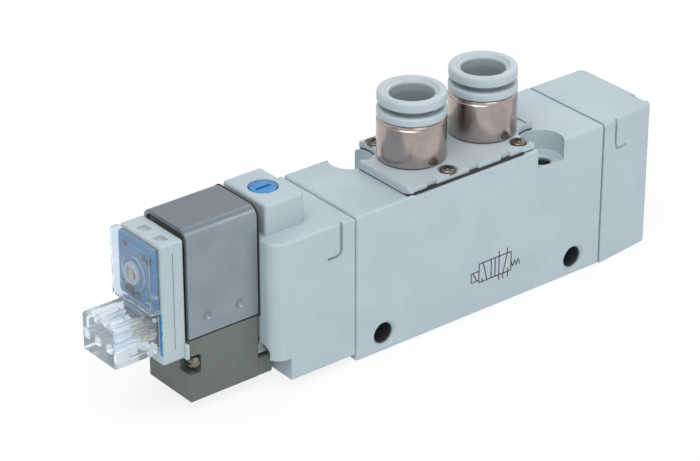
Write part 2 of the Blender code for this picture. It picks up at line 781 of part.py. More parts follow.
def build_pilot_base():
    half = pilot_width / 2
    low = (pilot_left, -half, pilot_bottom)
    base = piece("pilot_base", box(low, (pilot_right, half, base_top), 0.3 * mm), dark_resin())
    toe_low = (pilot_right - 2 * mm, -half + 0.1 * mm, pilot_bottom + 0.05 * mm)
    fuse(base, box(toe_low, (pilot_right + base_toe_length, half - 0.1 * mm, pilot_bottom + base_toe_height)))
    chamber = [(0, pilot_bottom - past), (0.8 * mm, pilot_bottom - past), (0.8 * mm, chamber_floor)]
    chamber += [(chamber_radius, chamber_floor), (chamber_radius, base_top + past), (0, base_top + past)]
    cut(base, turned(chamber, (coil_x, 0, 0), "Z", 20))
    cut(base, turned(rod(0.6 * mm, coil_x, pilot_right + past), (0, 0, pilot_screw_height), "X", 12))
    pocket = 2.4 * mm
    pocket_low = (pilot_right - 0.7 * mm, -pocket, pilot_screw_height - pocket)
    cut(base, box(pocket_low, (pilot_right + past, pocket, pilot_screw_height + pocket)))
    gasket_low = (pilot_right - 0.55 * mm, -pocket + slim_gap, pilot_screw_height - pocket + slim_gap)
    gasket_high = (pilot_right + slim_gap, pocket - slim_gap, pilot_screw_height + pocket - slim_gap)
    gasket = piece("pilot_gasket", box(gasket_low, gasket_high, 0.4 * mm, "X"), rubber())
    cut(gasket, turned(rod(0.8 * mm, pilot_right - 2 * mm, pilot_right + 2 * mm), (0, 0, pilot_screw_height), "X", 12))
    seat = pilot_left + pilot_screw_recess
    for side, where in ((-1, "front"), (1, "back")):
        hole = rod(pilot_screw_radius + slim_gap, pilot_left - past, pilot_right + past)
        cut(base, turned(hole, (0, side * pilot_screw_y, pilot_screw_height), "X", 12))
        reach = pilot_head_radius + 0.3 * mm
        inner, outer = sorted((side * (pilot_screw_y - reach), side * (half + past)))
        notch_low = (pilot_left - past, inner, pilot_screw_height - reach)
        cut(base, box(notch_low, (seat, outer, pilot_screw_height + reach)))
        tip = -gap - adapter_length + pilot_screw_grip
        at = (0, side * pilot_screw_y, pilot_screw_height)
        name = f"pilot_screw_{where}"
        screw(name, at, "X", seat - slim_gap, tip, pilot_screw_radius, pilot_head_radius, pilot_head_height)


def rounded_arch(half, top, radius, bottom, steps=4):
    """Outline of an upside-down U in Y and Z, from the back foot over the top to the front foot."""
    points = [(half, bottom)]
    for middle, start in ((half - radius, 0), (radius - half, 90)):
        for step in range(steps + 1):
            a = math.radians(start + 90 * step / steps)
            points.append((middle + radius * math.cos(a), top - radius + radius * math.sin(a)))
    return [*points, (-half, bottom)]


def build_pilot_cover():
    half = pilot_width / 2
    bottom = base_top + gap
    outer = rounded_arch(half, pilot_top, sheet_round, bottom)
    inner = rounded_arch(half - sheet, pilot_top - sheet, sheet_round - sheet, bottom)
    cover = piece("pilot_cover", extruded(outer + inner[::-1], "X", pilot_left, pilot_right), grey_sheet())
    for side in (-1, 1):
        for shift in (-2.75 * mm, 2.75 * mm):
            at = ((pilot_left + pilot_right) / 2 + shift, side * half, bottom + 2.7 * mm)
            cut(cover, turned([(0, -0.3 * mm), (0.5 * mm, 0), (0.5 * mm, past), (0, past)], at, "Y", 12)
                if side > 0 else turned([(0, -past), (0.5 * mm, -past), (0.5 * mm, 0), (0, 0.3 * mm)], at, "Y", 12))


def build_coil():
    at = (coil_x, 0, 0)
    low = base_top + gap + 0.2 * mm
    high = pilot_top - sheet - 0.9 * mm
    tube_outer = bobbin_bore + bobbin_wall
    bobbin = [(bobbin_bore, low), (bobbin_radius, low), (bobbin_radius, low + bobbin_flange)]
    bobbin += [(tube_outer, low + bobbin_flange), (tube_outer, high - bobbin_flange)]
    bobbin += [(bobbin_radius, high - bobbin_flange), (bobbin_radius, high), (bobbin_bore, high)]
    piece("coil_bobbin", turned(bobbin, at, "Z", 16), dark_resin())
    winding = tube(tube_outer + slim_gap, bobbin_radius - 0.3 * mm, low + bobbin_flange + slim_gap,
                   high - bobbin_flange - slim_gap)
    piece("coil_winding", turned(winding, at, "Z", 16), copper())
    core_top = pilot_top - sheet - slim_gap
    core_low = core_top - core_length
    core = [(0, core_low), (core_radius, core_low), (core_radius, high + slim_gap)]
    core += [(bobbin_bore + 0.6 * mm, high + slim_gap), (bobbin_bore + 0.6 * mm, core_top), (0, core_top)]
    piece("fixed_core", turned(core, at, "Z", 16), steel())
    foot = chamber_floor + slim_gap + seat_height + nozzle_height + slim_gap
    foot_top = foot + armature_foot_height
    armature = [(0, foot + 0.5 * mm), (1.0 * mm, foot + 0.5 * mm), (1.0 * mm, foot), (armature_foot_radius, foot)]
    armature += [(armature_foot_radius, foot_top), (armature_radius, foot_top)]
    armature_top = core_low - armature_travel - gap
    armature += [(armature_radius, armature_top), (0, armature_top)]
    piece("armature", turned(armature, at, "Z", 16), steel(), at)
    poppet = rod(0.85 * mm, foot + 0.05 * mm, foot + 0.35 * mm)
    piece("armature_poppet", turned(poppet, at, "Z", 16), rubber(), at)
    spring_radius = armature_radius + armature_spring_wire + 0.3 * mm
    start, end = foot_top + 0.1 * mm, low - 0.1 * mm
    spring("armature_spring", at, "Z", start, end, spring_radius, armature_spring_wire, 3, steel())
    seat_low = chamber_floor + slim_gap
    seat_top = seat_low + seat_height
    seat = [(0.4 * mm, seat_low), (chamber_radius - slim_gap, seat_low), (chamber_radius - slim_gap, seat_top)]
    seat += [(nozzle_radius, seat_top), (nozzle_radius - 0.2 * mm, seat_top + nozzle_height)]
    seat += [(0.4 * mm, seat_top + nozzle_height)]
    piece("pilot_seat", turned(seat, at, "Z", 16), brass())


# Plug connector with its indicator light


def build_connector():
    half = connector_width / 2
    low = (connector_left, -half, connector_bottom)
    block = piece("connector_block", box(low, (connector_right, half, connector_top), 0.3 * mm), white_resin())
    rim = 0.6 * mm
    board_low = light_cover_bottom + rim
    board_high = connector_top - 0.9 * mm
    pocket_low = (connector_left - past, -half + rim, board_low)
    cut(block, box(pocket_low, (connector_left + connector_pocket, half - rim, board_high)))
    nose_half = plug_nose_width / 2 + 0.2 * mm
    middle = plug_bottom + plug_height / 2
    nose_reach = plug_nose_height / 2 + 0.2 * mm
    socket_low = (connector_left - past, -nose_half, middle - nose_reach)
    cut(block, box(socket_low, (connector_left + plug_nose_length + 0.1 * mm, nose_half, middle + nose_reach)))
    board_x = connector_left + connector_pocket - slim_gap
    board_back = board_x - board_thickness
    side = half - rim - slim_gap
    board_box = box((board_back, -side, board_low + slim_gap), (board_x, side, board_high - slim_gap))
    piece("circuit_board", board_box, blue_resin())
    front = connector_left - light_cover_length + light_cover_wall
    lamp_at = (0, 0.8 * mm, lamp_height)
    lamp = [(0, board_back - slim_gap), (lamp_radius, board_back - slim_gap), (lamp_radius, front + 0.7 * mm)]
    lamp += [(lamp_radius - 0.5 * mm, front + 0.2 * mm), (0, front + 0.2 * mm)]
    piece("indicator_lamp", turned(lamp, lamp_at, "X", 20), white_resin())
    part_low = (board_back - 1.1 * mm, -2.9 * mm, board_low + 0.4 * mm)
    piece("surge_absorber", box(part_low, (board_back - slim_gap, -0.2 * mm, board_low + 0.95 * mm)), dark_resin())
    build_light_cover(half)


def build_light_cover(half):
    right = connector_left - gap / 2
    left = connector_left - light_cover_length
    outer_low = (left, -half - 0.1 * mm, light_cover_bottom)
    outer = box(outer_low, (right, half + 0.1 * mm, connector_top), 0.4 * mm)
    cover = piece("light_cover", outer, clear_resin())
    wall = light_cover_wall
    inner_low = (left + wall, -half - 0.1 * mm + wall, light_cover_bottom + wall)
    cut(cover, box(inner_low, (right + past, half + 0.1 * mm - wall, connector_top - wall)))


def build_plug():
    half = plug_width / 2
    middle = plug_bottom + plug_height / 2
    right = connector_left - gap / 2
    low = (-plug_left, -half, plug_bottom)
    plug = piece("plug_housing", box(low, (right, half, plug_bottom + plug_height), 0.35 * mm), clear_resin())
    nose_low = (right - 0.5 * mm, -plug_nose_width / 2, middle - plug_nose_height / 2)
    nose_end = connector_left + plug_nose_length - 0.1 * mm
    fuse(plug, box(nose_low, (nose_end, plug_nose_width / 2, middle + plug_nose_height / 2)))
    for number, place in enumerate((-cavity_pitch, 0, cavity_pitch), 1):
        at = (0, place, middle)
        cut(plug, turned(rod(cavity_radius, -plug_left - past, nose_end + past), at, "X", 12))
        if number == 3:
            continue  # the third cavity stays empty
        start = nose_end - contact_length
        tube_end = nose_end - 0.3 * mm
        contact = tube(pin_radius + 0.15 * mm, contact_radius, start, tube_end)
        piece(f"plug_contact_{number}", turned(contact, at, "X", 12), brass())
        pin = rod(pin_radius, start + 1.5 * mm, connector_right - 0.5 * mm)
        piece(f"terminal_pin_{number}", turned(pin, at, "X", 8), brass())
        hole = rod(pin_radius + slim_gap, connector_left + 0.5 * mm, connector_right - 0.35 * mm)
        cut(bpy.data.objects["connector_block"], turned(hole, at, "X", 8))


def build_valve():
    clear_scene()
    valve = bpy.data.objects.new("valve", None)
    bpy.context.scene.collection.objects.link(valve)
    valve.location = (-middle_x, 0, 0)
    build_body()
    build_adapter()
    build_end_cover()
    build_end_seals()
    build_port_plate()
    for name, place in fitting_places.items():
        build_fitting(name, place)
    build_spool()
    build_piston()
    build_return_spring()
    build_override()
    build_pilot_base()
    build_pilot_cover()
    build_coil()
    build_connector()
    build_plug()


build_valve()
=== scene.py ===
import json
import math

import bmesh
import bpy
from mathutils import Matrix, Vector


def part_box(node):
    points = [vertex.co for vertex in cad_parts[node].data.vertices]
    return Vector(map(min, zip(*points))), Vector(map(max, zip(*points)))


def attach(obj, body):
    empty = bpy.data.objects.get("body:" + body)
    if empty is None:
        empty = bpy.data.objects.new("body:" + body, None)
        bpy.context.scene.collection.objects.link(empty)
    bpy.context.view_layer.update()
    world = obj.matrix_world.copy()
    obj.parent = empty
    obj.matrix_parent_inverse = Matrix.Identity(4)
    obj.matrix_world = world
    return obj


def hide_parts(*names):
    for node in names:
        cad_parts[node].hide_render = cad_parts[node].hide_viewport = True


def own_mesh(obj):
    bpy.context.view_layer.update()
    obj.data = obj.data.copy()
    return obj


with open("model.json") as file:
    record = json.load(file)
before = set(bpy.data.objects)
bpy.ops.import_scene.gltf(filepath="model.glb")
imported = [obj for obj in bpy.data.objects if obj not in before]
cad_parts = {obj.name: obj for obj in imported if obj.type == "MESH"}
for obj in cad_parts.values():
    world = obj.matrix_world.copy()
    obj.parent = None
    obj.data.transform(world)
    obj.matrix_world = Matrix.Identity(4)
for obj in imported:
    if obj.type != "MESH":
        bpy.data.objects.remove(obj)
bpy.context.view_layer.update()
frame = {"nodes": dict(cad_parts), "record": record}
print("frame loaded")

# All shapes below are in millimetres from the middle of the body's left face, at its underside
mm = 0.001
bodyLow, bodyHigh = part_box("valve_body")
start = Vector((bodyLow.x, 0, bodyLow.z))
toFrame = Matrix.Translation(start) @ Matrix.Scale(mm, 4)


def spot(x, y, z):
    return toFrame @ Vector((x, y, z))


def span(node, axis):
    # lowest and highest value of a CAD node along one axis, in millimetres
    low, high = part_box(node)
    way = "XYZ".index(axis)
    return (low - start)[way] / mm, (high - start)[way] / mm


# Finishes

class Sock:
    # one output of a node, or one value, with arithmetic
    def __init__(self, kit, link):
        self.kit = kit
        self.link = link

    def calc(self, operation, first, second=0.0):
        return self.kit.add("Math", {"operation": operation}, {0: first, 1: second})

    def __add__(self, other):
        return self.calc("ADD", self, other)

    def __sub__(self, other):
        return self.calc("SUBTRACT", self, other)

    def __rsub__(self, other):
        return self.calc("SUBTRACT", other, self)

    def __mul__(self, other):
        return self.calc("MULTIPLY", self, other)

    __radd__ = __add__
    __rmul__ = __mul__

    def above(self, low, high):
        # 0 under low, 1 over high, smooth between
        return self.kit.add("MapRange", {"interpolation_type": "SMOOTHSTEP"}, {0: self, 1: low, 2: high})


class Finish:
    def __init__(self, name):
        self.material = bpy.data.materials.new(name)
        self.material.use_nodes = True
        self.nodes = self.material.node_tree.nodes
        self.links = self.material.node_tree.links
        self.shader = self.nodes["Principled BSDF"]
        self.place = self.add("TexCoord", {}, {}, "Object")

    def put(self, socket, value):
        if isinstance(value, Sock):
            self.links.new(value.link, socket)
        elif isinstance(value, (tuple, list)) and len(socket.default_value) == 4:
            socket.default_value = (*value[:3], 1.0)
        else:
            socket.default_value = value

    def add(self, kind, settings, inputs, output=0):
        node = self.nodes.new("ShaderNode" + kind)
        for setting, value in settings.items():
            setattr(node, setting, value)
        for socket, value in inputs.items():
            self.put(node.inputs[socket], value)
        return Sock(self, node.outputs[output])

    def stretch(self, amounts):
        return self.add("VectorMath", {"operation": "MULTIPLY"}, {0: self.place, 1: amounts})

    def noise(self, scale, detail=3.0, stretched=None):
        where = self.stretch(stretched) if stretched else self.place
        return self.add("TexNoise", {}, {"Vector": where, "Scale": scale, "Detail": detail})

    def axis(self, name):
        # the place along X, Y or Z, in millimetres from the frame's origin
        return self.add("SeparateXYZ", {}, {0: self.place}, name) * 1000.0

    def within(self, along, at, radius, limit):
        # 1 inside a round hole through at, running along an axis, deeper than limit on that axis
        flat = [0.0 if name == along else self.axis(name) for name in "XYZ"]
        centre = [0.0 if name == along else value for name, value in zip("XYZ", at)]
        place = self.add("CombineXYZ", {}, dict(enumerate(flat)))
        away = self.add("VectorMath", {"operation": "DISTANCE"}, {0: place, 1: tuple(centre)}, 1)
        depth = self.axis(along).calc("ABSOLUTE", self.axis(along))
        return (1 - away.above(radius, radius + 0.12)) * (1 - depth.above(limit - 0.7, limit))

    def mix(self, share, first, second):
        settings = {"data_type": "RGBA", "clamp_factor": True}
        return self.add("Mix", settings, {0: share, 6: first, 7: second}, 2)

    def finish(self, colour, rough, height=None, depth=0.01, fixed=None):
        self.put(self.shader.inputs["Base Color"], colour)
        self.put(self.shader.inputs["Roughness"], rough)
        if height is not None:
            bump = self.add("Bump", {}, {"Height": height, "Distance": depth * mm, "Strength": 1.0})
            self.put(self.shader.inputs["Normal"], bump)
        for socket, value in (fixed or {}).items():
            self.put(self.shader.inputs[socket], value)
        return self.material


def mouldedFinish(name, look):
    # paint or moulded resin: faint clouds of tone, a fine grain, and tiny pale and dark flecks
    kit = Finish(name)
    cloud = kit.noise(look.get("clouds", 130.0), 3.0)
    grain = kit.noise(look["grain"], 5.0)
    speck = kit.noise(look["grain"] * 0.37, 2.0)
    tone = kit.mix(cloud.above(0.36, 0.66), look["colour"], look["shade"])
    tone = kit.mix(speck.above(0.66, 0.74) * look["fleck"], tone, look["pale"])
    tone = kit.mix((1 - speck.above(0.28, 0.36)) * look["fleck"], tone, look["shade"])
    # painted shade: a darker colour is mixed in inside the given holes, where shade falls
    for hollow in look.get("shadedHoles", ()):
        tone = kit.mix(kit.within(*hollow), tone, look["holeShade"])
    rough = look["rough"] + (grain - 0.5) * 0.16 + (cloud - 0.5) * 0.12
    height = grain * 0.8 + speck * 0.2
    return kit.finish(tone, rough, height, look["depth"], look.get("fixed"))


def turnedFinish(name, look):
    # machined or plated metal: rings left by the tool round the given axis, and dull patches
    kit = Finish(name)
    across = {"X": (9.0, 0.25, 0.25), "Z": (0.25, 0.25, 9.0)}[look["axis"]]
    rings = kit.noise(look.get("rings", 900.0), 4.0, across)
    dull = kit.noise(260.0, 4.0)
    tone = kit.mix(dull.above(0.4, 0.7), look["colour"], look["shade"])
    tone = kit.mix(rings.above(0.5, 0.75) * 0.35, tone, look["shade"])
    rough = look["rough"] + (rings - 0.5) * 0.14 + dull.above(0.5, 0.8) * 0.08
    return kit.finish(tone, rough, rings, look["depth"], {"Metallic": look.get("metal", 1.0)})


def sheetFinish(name, look):
    # grey plated sheet: straight fine grain along the valve, and handling marks
    kit = Finish(name)
    lines = kit.noise(700.0, 5.0, (0.12, 6.0, 6.0))
    marks = kit.noise(190.0, 4.0)
    tone = kit.mix(marks.above(0.38, 0.68), look["colour"], look["shade"])
    tone = kit.mix(lines.above(0.5, 0.72) * 0.3, tone, look["pale"])
    # painted shade: the sheet is coloured darker above the heights in bend, over its rounded top
    tone = kit.mix(kit.axis("Z").above(*look["bend"]), tone, look["top"])
    rough = look["rough"] + (lines - 0.5) * 0.14 + (marks - 0.5) * 0.16
    return kit.finish(tone, rough, lines, look["depth"], {"Metallic": look["metal"]})


def clearFinish(name, look):
    # clear resin, with a faint blue body tint and slight waves from moulding
    kit = Finish(name)
    waves = kit.noise(240.0, 2.0)
    dust = kit.noise(5200.0, 3.0)
    tone = kit.mix(waves.above(0.3, 0.7), look["colour"], look["shade"])
    rough = look["rough"] + dust.above(0.6, 0.8) * 0.12 + waves * 0.03
    fixed = {"Transmission Weight": look["through"], "IOR": look["bends"]}
    return kit.finish(tone, rough, waves, look["depth"], fixed)


def boardFinish(name, look):
    # solder mask over copper: straight conductors stand a little proud and lighter
    kit = Finish(name)
    tracks = kit.add("TexBrick", {"offset": 0.5, "squash": 1.0}, {
        "Vector": kit.add("CombineXYZ", {}, {0: kit.axis("Y"), 1: kit.axis("Z"), 2: 0.0}),
        "Color1": (0, 0, 0), "Color2": (0, 0, 0), "Mortar": (1, 1, 1),
        "Scale": 1.0, "Mortar Size": 0.09, "Brick Width": 2.3, "Row Height": 0.85}, 1)
    cloud = kit.noise(700.0, 3.0)
    tone = kit.mix(cloud.above(0.35, 0.7), look["colour"], look["shade"])
    tone = kit.mix(tracks * 0.7, tone, look["pale"])
    return kit.finish(tone, look["rough"] + cloud * 0.12, tracks + cloud * 0.1, 0.02, {"Coat Weight": 0.3})


castingLook = {
    "colour": (0.41, 0.487, 0.53), "shade": (0.385, 0.463, 0.508), "pale": (0.48, 0.55, 0.59), "grain": 3400.0,
    "fleck": 0.35, "rough": 0.46, "depth": 0.012, "holeShade": (0.05, 0.055, 0.06), "fixed": {"Coat Weight": 0.08}}
whiteLook = {
    "colour": (0.435, 0.50, 0.535), "shade": (0.405, 0.475, 0.51), "pale": (0.51, 0.57, 0.60), "grain": 4300.0,
    "fleck": 0.2, "rough": 0.36, "depth": 0.005, "holeShade": (0.27, 0.33, 0.345),
    "fixed": {"Subsurface Weight": 0.12, "Subsurface Radius": Vector((0.0012, 0.0011, 0.001))}}
finishes = {
    "painted_casting": mouldedFinish("castingPaint", castingLook),
    "pale_resin": mouldedFinish("paleResin", {
        "colour": (0.41, 0.487, 0.527), "shade": (0.385, 0.463, 0.505), "pale": (0.47, 0.54, 0.575),
        "grain": 5200.0, "fleck": 0.22, "rough": 0.52, "depth": 0.008}),
    "white_resin": mouldedFinish("whiteResin", whiteLook),
    "dark_resin": mouldedFinish("darkResin", {
        "colour": (0.118, 0.138, 0.124), "shade": (0.102, 0.12, 0.108), "pale": (0.18, 0.20, 0.18),
        "grain": 3000.0, "fleck": 0.4, "rough": 0.5, "depth": 0.014}),
    "grey_sheet": sheetFinish("greySheet", {
        "colour": (0.235, 0.285, 0.325), "shade": (0.215, 0.26, 0.298), "pale": (0.30, 0.35, 0.39),
        "top": (0.165, 0.195, 0.225), "bend": (27.5, 28.15), "rough": 0.34, "depth": 0.0025, "metal": 0.42}),
    "blue_resin": mouldedFinish("blueResin", {
        "colour": (0.035, 0.23, 0.52), "shade": (0.025, 0.19, 0.46), "pale": (0.10, 0.34, 0.62),
        "grain": 5200.0, "fleck": 0.25, "rough": 0.38, "depth": 0.006}),
    "clear_resin": clearFinish("clearResin", {
        "colour": (0.86, 0.93, 0.99), "shade": (0.80, 0.89, 0.98), "rough": 0.07, "depth": 0.02,
        "through": 0.95, "bends": 1.3}),
    "black_rubber": mouldedFinish("blackRubber", {
        "colour": (0.022, 0.022, 0.024), "shade": (0.014, 0.014, 0.015), "pale": (0.06, 0.06, 0.062),
        "grain": 5000.0, "fleck": 0.3, "rough": 0.7, "depth": 0.01}),
    "nickel": turnedFinish("nickelPlate", {
        "axis": "Z", "colour": (0.43, 0.362, 0.338), "shade": (0.35, 0.29, 0.27), "rough": 0.22,
        "depth": 0.0015, "rings": 1100.0}),
    "steel": turnedFinish("brightSteel", {
        "axis": "Z", "colour": (0.56, 0.55, 0.53), "shade": (0.42, 0.41, 0.40), "rough": 0.28, "depth": 0.002}),
    "aluminium": turnedFinish("turnedAluminium", {
        "axis": "X", "colour": (0.74, 0.75, 0.77), "shade": (0.6, 0.61, 0.63), "rough": 0.3, "depth": 0.003}),
    "brass": turnedFinish("bareBrass", {
        "axis": "X", "colour": (0.74, 0.56, 0.27), "shade": (0.55, 0.4, 0.18), "rough": 0.28, "depth": 0.002}),
    "copper": turnedFinish("enamelledCopper", {
        "axis": "Z", "colour": (0.56, 0.22, 0.08), "shade": (0.38, 0.13, 0.05), "rough": 0.3, "depth": 0.05,
        "rings": 500.0, "metal": 0.8}),
}
boardBlue = boardFinish("boardBlue", {
    "colour": (0.015, 0.20, 0.42), "shade": (0.01, 0.155, 0.35), "pale": (0.06, 0.33, 0.55), "rough": 0.32})
# painted shade: the screws' steel is coloured dark to stand in for the shade in their cross recesses
shadedScrewSteel = turnedFinish("shadedScrewSteel", {
    "axis": "Z", "colour": (0.20, 0.175, 0.155), "shade": (0.12, 0.105, 0.095), "rough": 0.32, "depth": 0.002})
plugClear = clearFinish("plugClear", {
    "colour": (0.88, 0.94, 0.985), "shade": (0.80, 0.89, 0.965), "rough": 0.08, "depth": 0.02, "through": 0.82,
    "bends": 1.27})
cream = mouldedFinish("creamResin", {
    "colour": (0.78, 0.71, 0.56), "shade": (0.70, 0.60, 0.43), "pale": (0.88, 0.84, 0.74),
    "grain": 6000.0, "fleck": 0.3, "rough": 0.3, "depth": 0.003})
frameWhite = mouldedFinish("frameWhite", {
    "colour": (0.78, 0.80, 0.80), "shade": (0.70, 0.72, 0.72), "pale": (0.88, 0.88, 0.86),
    "grain": 6000.0, "fleck": 0.2, "rough": 0.3, "depth": 0.003})
symbolInk = mouldedFinish("symbolInk", {
    "colour": (0.075, 0.055, 0.05), "shade": (0.11, 0.085, 0.08), "pale": (0.2, 0.18, 0.17),
    "grain": 6000.0, "fleck": 0.5, "rough": 0.6, "depth": 0.004})
for row in frame["record"]["subparts"]:
    node = frame["nodes"][row["node"]]
    node.data.materials.clear()
    node.data.materials.append(finishes[row["material_slot"]])
print("finishes made:", len(finishes) + 6)


# Shapes

def block(low, high, soft=0.0, along=None, steps=3):
    # box between two corners, with its edges rounded; along limits that to the edges on one axis
    shape = bmesh.new()
    bmesh.ops.create_cube(shape, size=1.0)
    low, high = Vector(low), Vector(high)
    for vert in shape.verts:
        vert.co = Vector(c * s for c, s in zip(vert.co, high - low)) + (low + high) / 2
    if soft:
        edges = [e for e in shape.edges if along is None or runsAlong(e, along)]
        bmesh.ops.bevel(shape, geom=edges, offset=soft, segments=steps, profile=0.5, affect="EDGES")
    return shape


def runsAlong(edge, axis):
    way = (edge.verts[1].co - edge.verts[0].co).normalized()
    return abs(way["XYZ".index(axis)]) > 0.99


def turned(profile, at=(0, 0, 0), axis="Z", sides=64):
    # profile: (radius, place along the axis); it starts and ends on the axis or is a closed ring
    shape = bmesh.new()
    rings = []
    for radius, along in profile:
        if radius == 0:
            rings.append([shape.verts.new((0, 0, along))])
        else:
            angles = (math.tau * step / sides for step in range(sides))
            rings.append([shape.verts.new((radius * math.cos(a), radius * math.sin(a), along)) for a in angles])
    pairs = list(zip(rings, rings[1:]))
    if profile[0][0] > 0:
        pairs.append((rings[-1], rings[0]))
    for low, high in pairs:
        for step in range(sides):
            after = (step + 1) % sides
            corners = [low[step % len(low)], low[after % len(low)], high[after % len(high)], high[step % len(high)]]
            shape.faces.new(list(dict.fromkeys(corners)))
    turn = {"Z": Matrix(), "X": Matrix.Rotation(math.pi / 2, 4, "Y"), "Y": Matrix.Rotation(-math.pi / 2, 4, "X")}
    bmesh.ops.transform(shape, matrix=Matrix.Translation(at) @ turn[axis], verts=shape.verts)
    bmesh.ops.recalc_face_normals(shape, faces=shape.faces)
    return shape


def rod(radius, low, high, soft=0.0):
    if not soft:
        return [(0, low), (radius, low), (radius, high), (0, high)]
    return [(0, low), *bend(radius - soft, low + soft, soft, -90, 0), *bend(radius - soft, high - soft, soft, 0, 90),
            (0, high)]


def bend(u, v, radius, first, last, steps=5):
    # points on an arc about (u, v), angles in degrees
    angles = (math.radians(first + (last - first) * step / steps) for step in range(steps + 1))
    return [(u + radius * math.cos(a), v + radius * math.sin(a)) for a in angles]


def ring(inner, outer, low, high, soft=0.1):
    points = bend(outer - soft, low + soft, soft, -90, 0, 3) + bend(outer - soft, high - soft, soft, 0, 90, 3)
    points += bend(inner + soft, high - soft, soft, 90, 180, 3)
    return points + bend(inner + soft, low + soft, soft, 180, 270, 3)


def slab(outline, axis, low, high):
    # prism of an outline given in the two other axes, in X, Y, Z order
    shape = bmesh.new()
    ends = []
    for along in (low, high):
        points = []
        for point in outline:
            point = list(point)
            point.insert("XYZ".index(axis), along)
            points.append(shape.verts.new(point))
        ends.append(points)
        shape.faces.new(points)
    for step in range(len(outline)):
        after = (step + 1) % len(outline)
        shape.faces.new((ends[0][step], ends[0][after], ends[1][after], ends[1][step]))
    bmesh.ops.recalc_face_normals(shape, faces=shape.faces)
    return shape


def strip(points, width, low, high, axis="Y"):
    # flat line of one width through points, as a thin prism
    left, right = [], []
    for number, point in enumerate(points):
        before = Vector(points[max(number - 1, 0)])
        after = Vector(points[min(number + 1, len(points) - 1)])
        way = (after - before).normalized()
        side = Vector((-way.y, way.x)) * width / 2
        left.append(tuple(Vector(point) + side))
        right.append(tuple(Vector(point) - side))
    return slab(left + right[::-1], axis, low, high)


def asObject(name, shape):
    bmesh.ops.transform(shape, matrix=toFrame, verts=shape.verts)
    mesh = bpy.data.meshes.new(name)
    shape.to_mesh(mesh)
    shape.free()
    made = bpy.data.objects.new(name, mesh)
    bpy.context.scene.collection.objects.link(made)
    return made


def applyModifiers(piece):
    graph = bpy.context.evaluated_depsgraph_get()
    piece.data = bpy.data.meshes.new_from_object(piece.evaluated_get(graph))
    piece.modifiers.clear()


def makePiece(name, shape, slot, stands=(), joins=(), cuts=(), soft=0.0, body="housing", finish=None):
    piece = asObject(name, shape)
    helpers = []
    for operation, tools in (("UNION", joins), ("DIFFERENCE", cuts)):
        for tool in tools:
            helper = asObject("helper", tool)
            helpers.append(helper)
            step = piece.modifiers.new(operation, "BOOLEAN")
            step.operation = operation
            step.solver = "EXACT"
            step.object = helper
    if soft:
        edge = piece.modifiers.new("edges", "BEVEL")
        edge.width = soft * mm
        edge.segments = 2
        edge.limit_method = "ANGLE"
        edge.angle_limit = math.radians(38)
        edge.miter_outer = "MITER_ARC"
    applyModifiers(piece)
    for helper in helpers:
        bpy.data.objects.remove(helper)
    piece.data.shade_smooth()
    piece.data.set_sharp_from_angle(angle=math.radians(34))
    piece.modifiers.new("normals", "WEIGHTED_NORMAL").keep_sharp = True  # keeps flat faces even in tone
    applyModifiers(piece)
    mesh = piece.data
    mesh.materials.clear()
    mesh.materials.append(finish or finishes[slot])
    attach(piece, body)
    if stands:
        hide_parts(*([stands] if isinstance(stands, str) else stands))
    return piece


# Valve body

bodySet = {
    "length": (bodyHigh.x - bodyLow.x) / mm, "side": 8.4, "top": 23.3, "round": 0.45,
    "bore": 4.2, "boreHeight": 11.8, "pitch": 13.4, "exhaustPitch": 22.6,
    "portRadius": 4.3, "portDepth": 5.6, "holePitch": 25.8, "holeY": 6.3, "hole": 1.4, "recess": 3.3,
    "recessDepth": 3.3, "sidePitch": 36.5, "sideHeight": 2.7, "sideHole": 1.65, "sideRim": 2.25,
}
bodyMiddle = bodySet["length"] / 2
fittingX = {"a": bodyMiddle - bodySet["pitch"] / 2, "b": bodyMiddle + bodySet["pitch"] / 2}
exhaustX = (bodyMiddle - bodySet["exhaustPitch"] / 2, bodyMiddle + bodySet["exhaustPitch"] / 2)


def shadedHoleFinish(s):
    # painted shade: the casting's colour is darkened inside the mounting holes
    shadedHoles = []
    for side in (-1, 1):
        x = start.x / mm + bodyMiddle + side * s["sidePitch"] / 2
        shadedHoles.append(("Y", (x, 0, s["sideHeight"]), s["sideHole"] + 0.1, s["side"] - 0.3))
        x = start.x / mm + bodyMiddle + side * s["holePitch"] / 2
        shadedHoles.append(("Z", (x, -side * s["holeY"], 0), s["hole"] + 0.1, s["top"] - s["recessDepth"] - 0.15))
    return mouldedFinish("castingPaintShadedHoles", {**castingLook, "shadedHoles": shadedHoles})


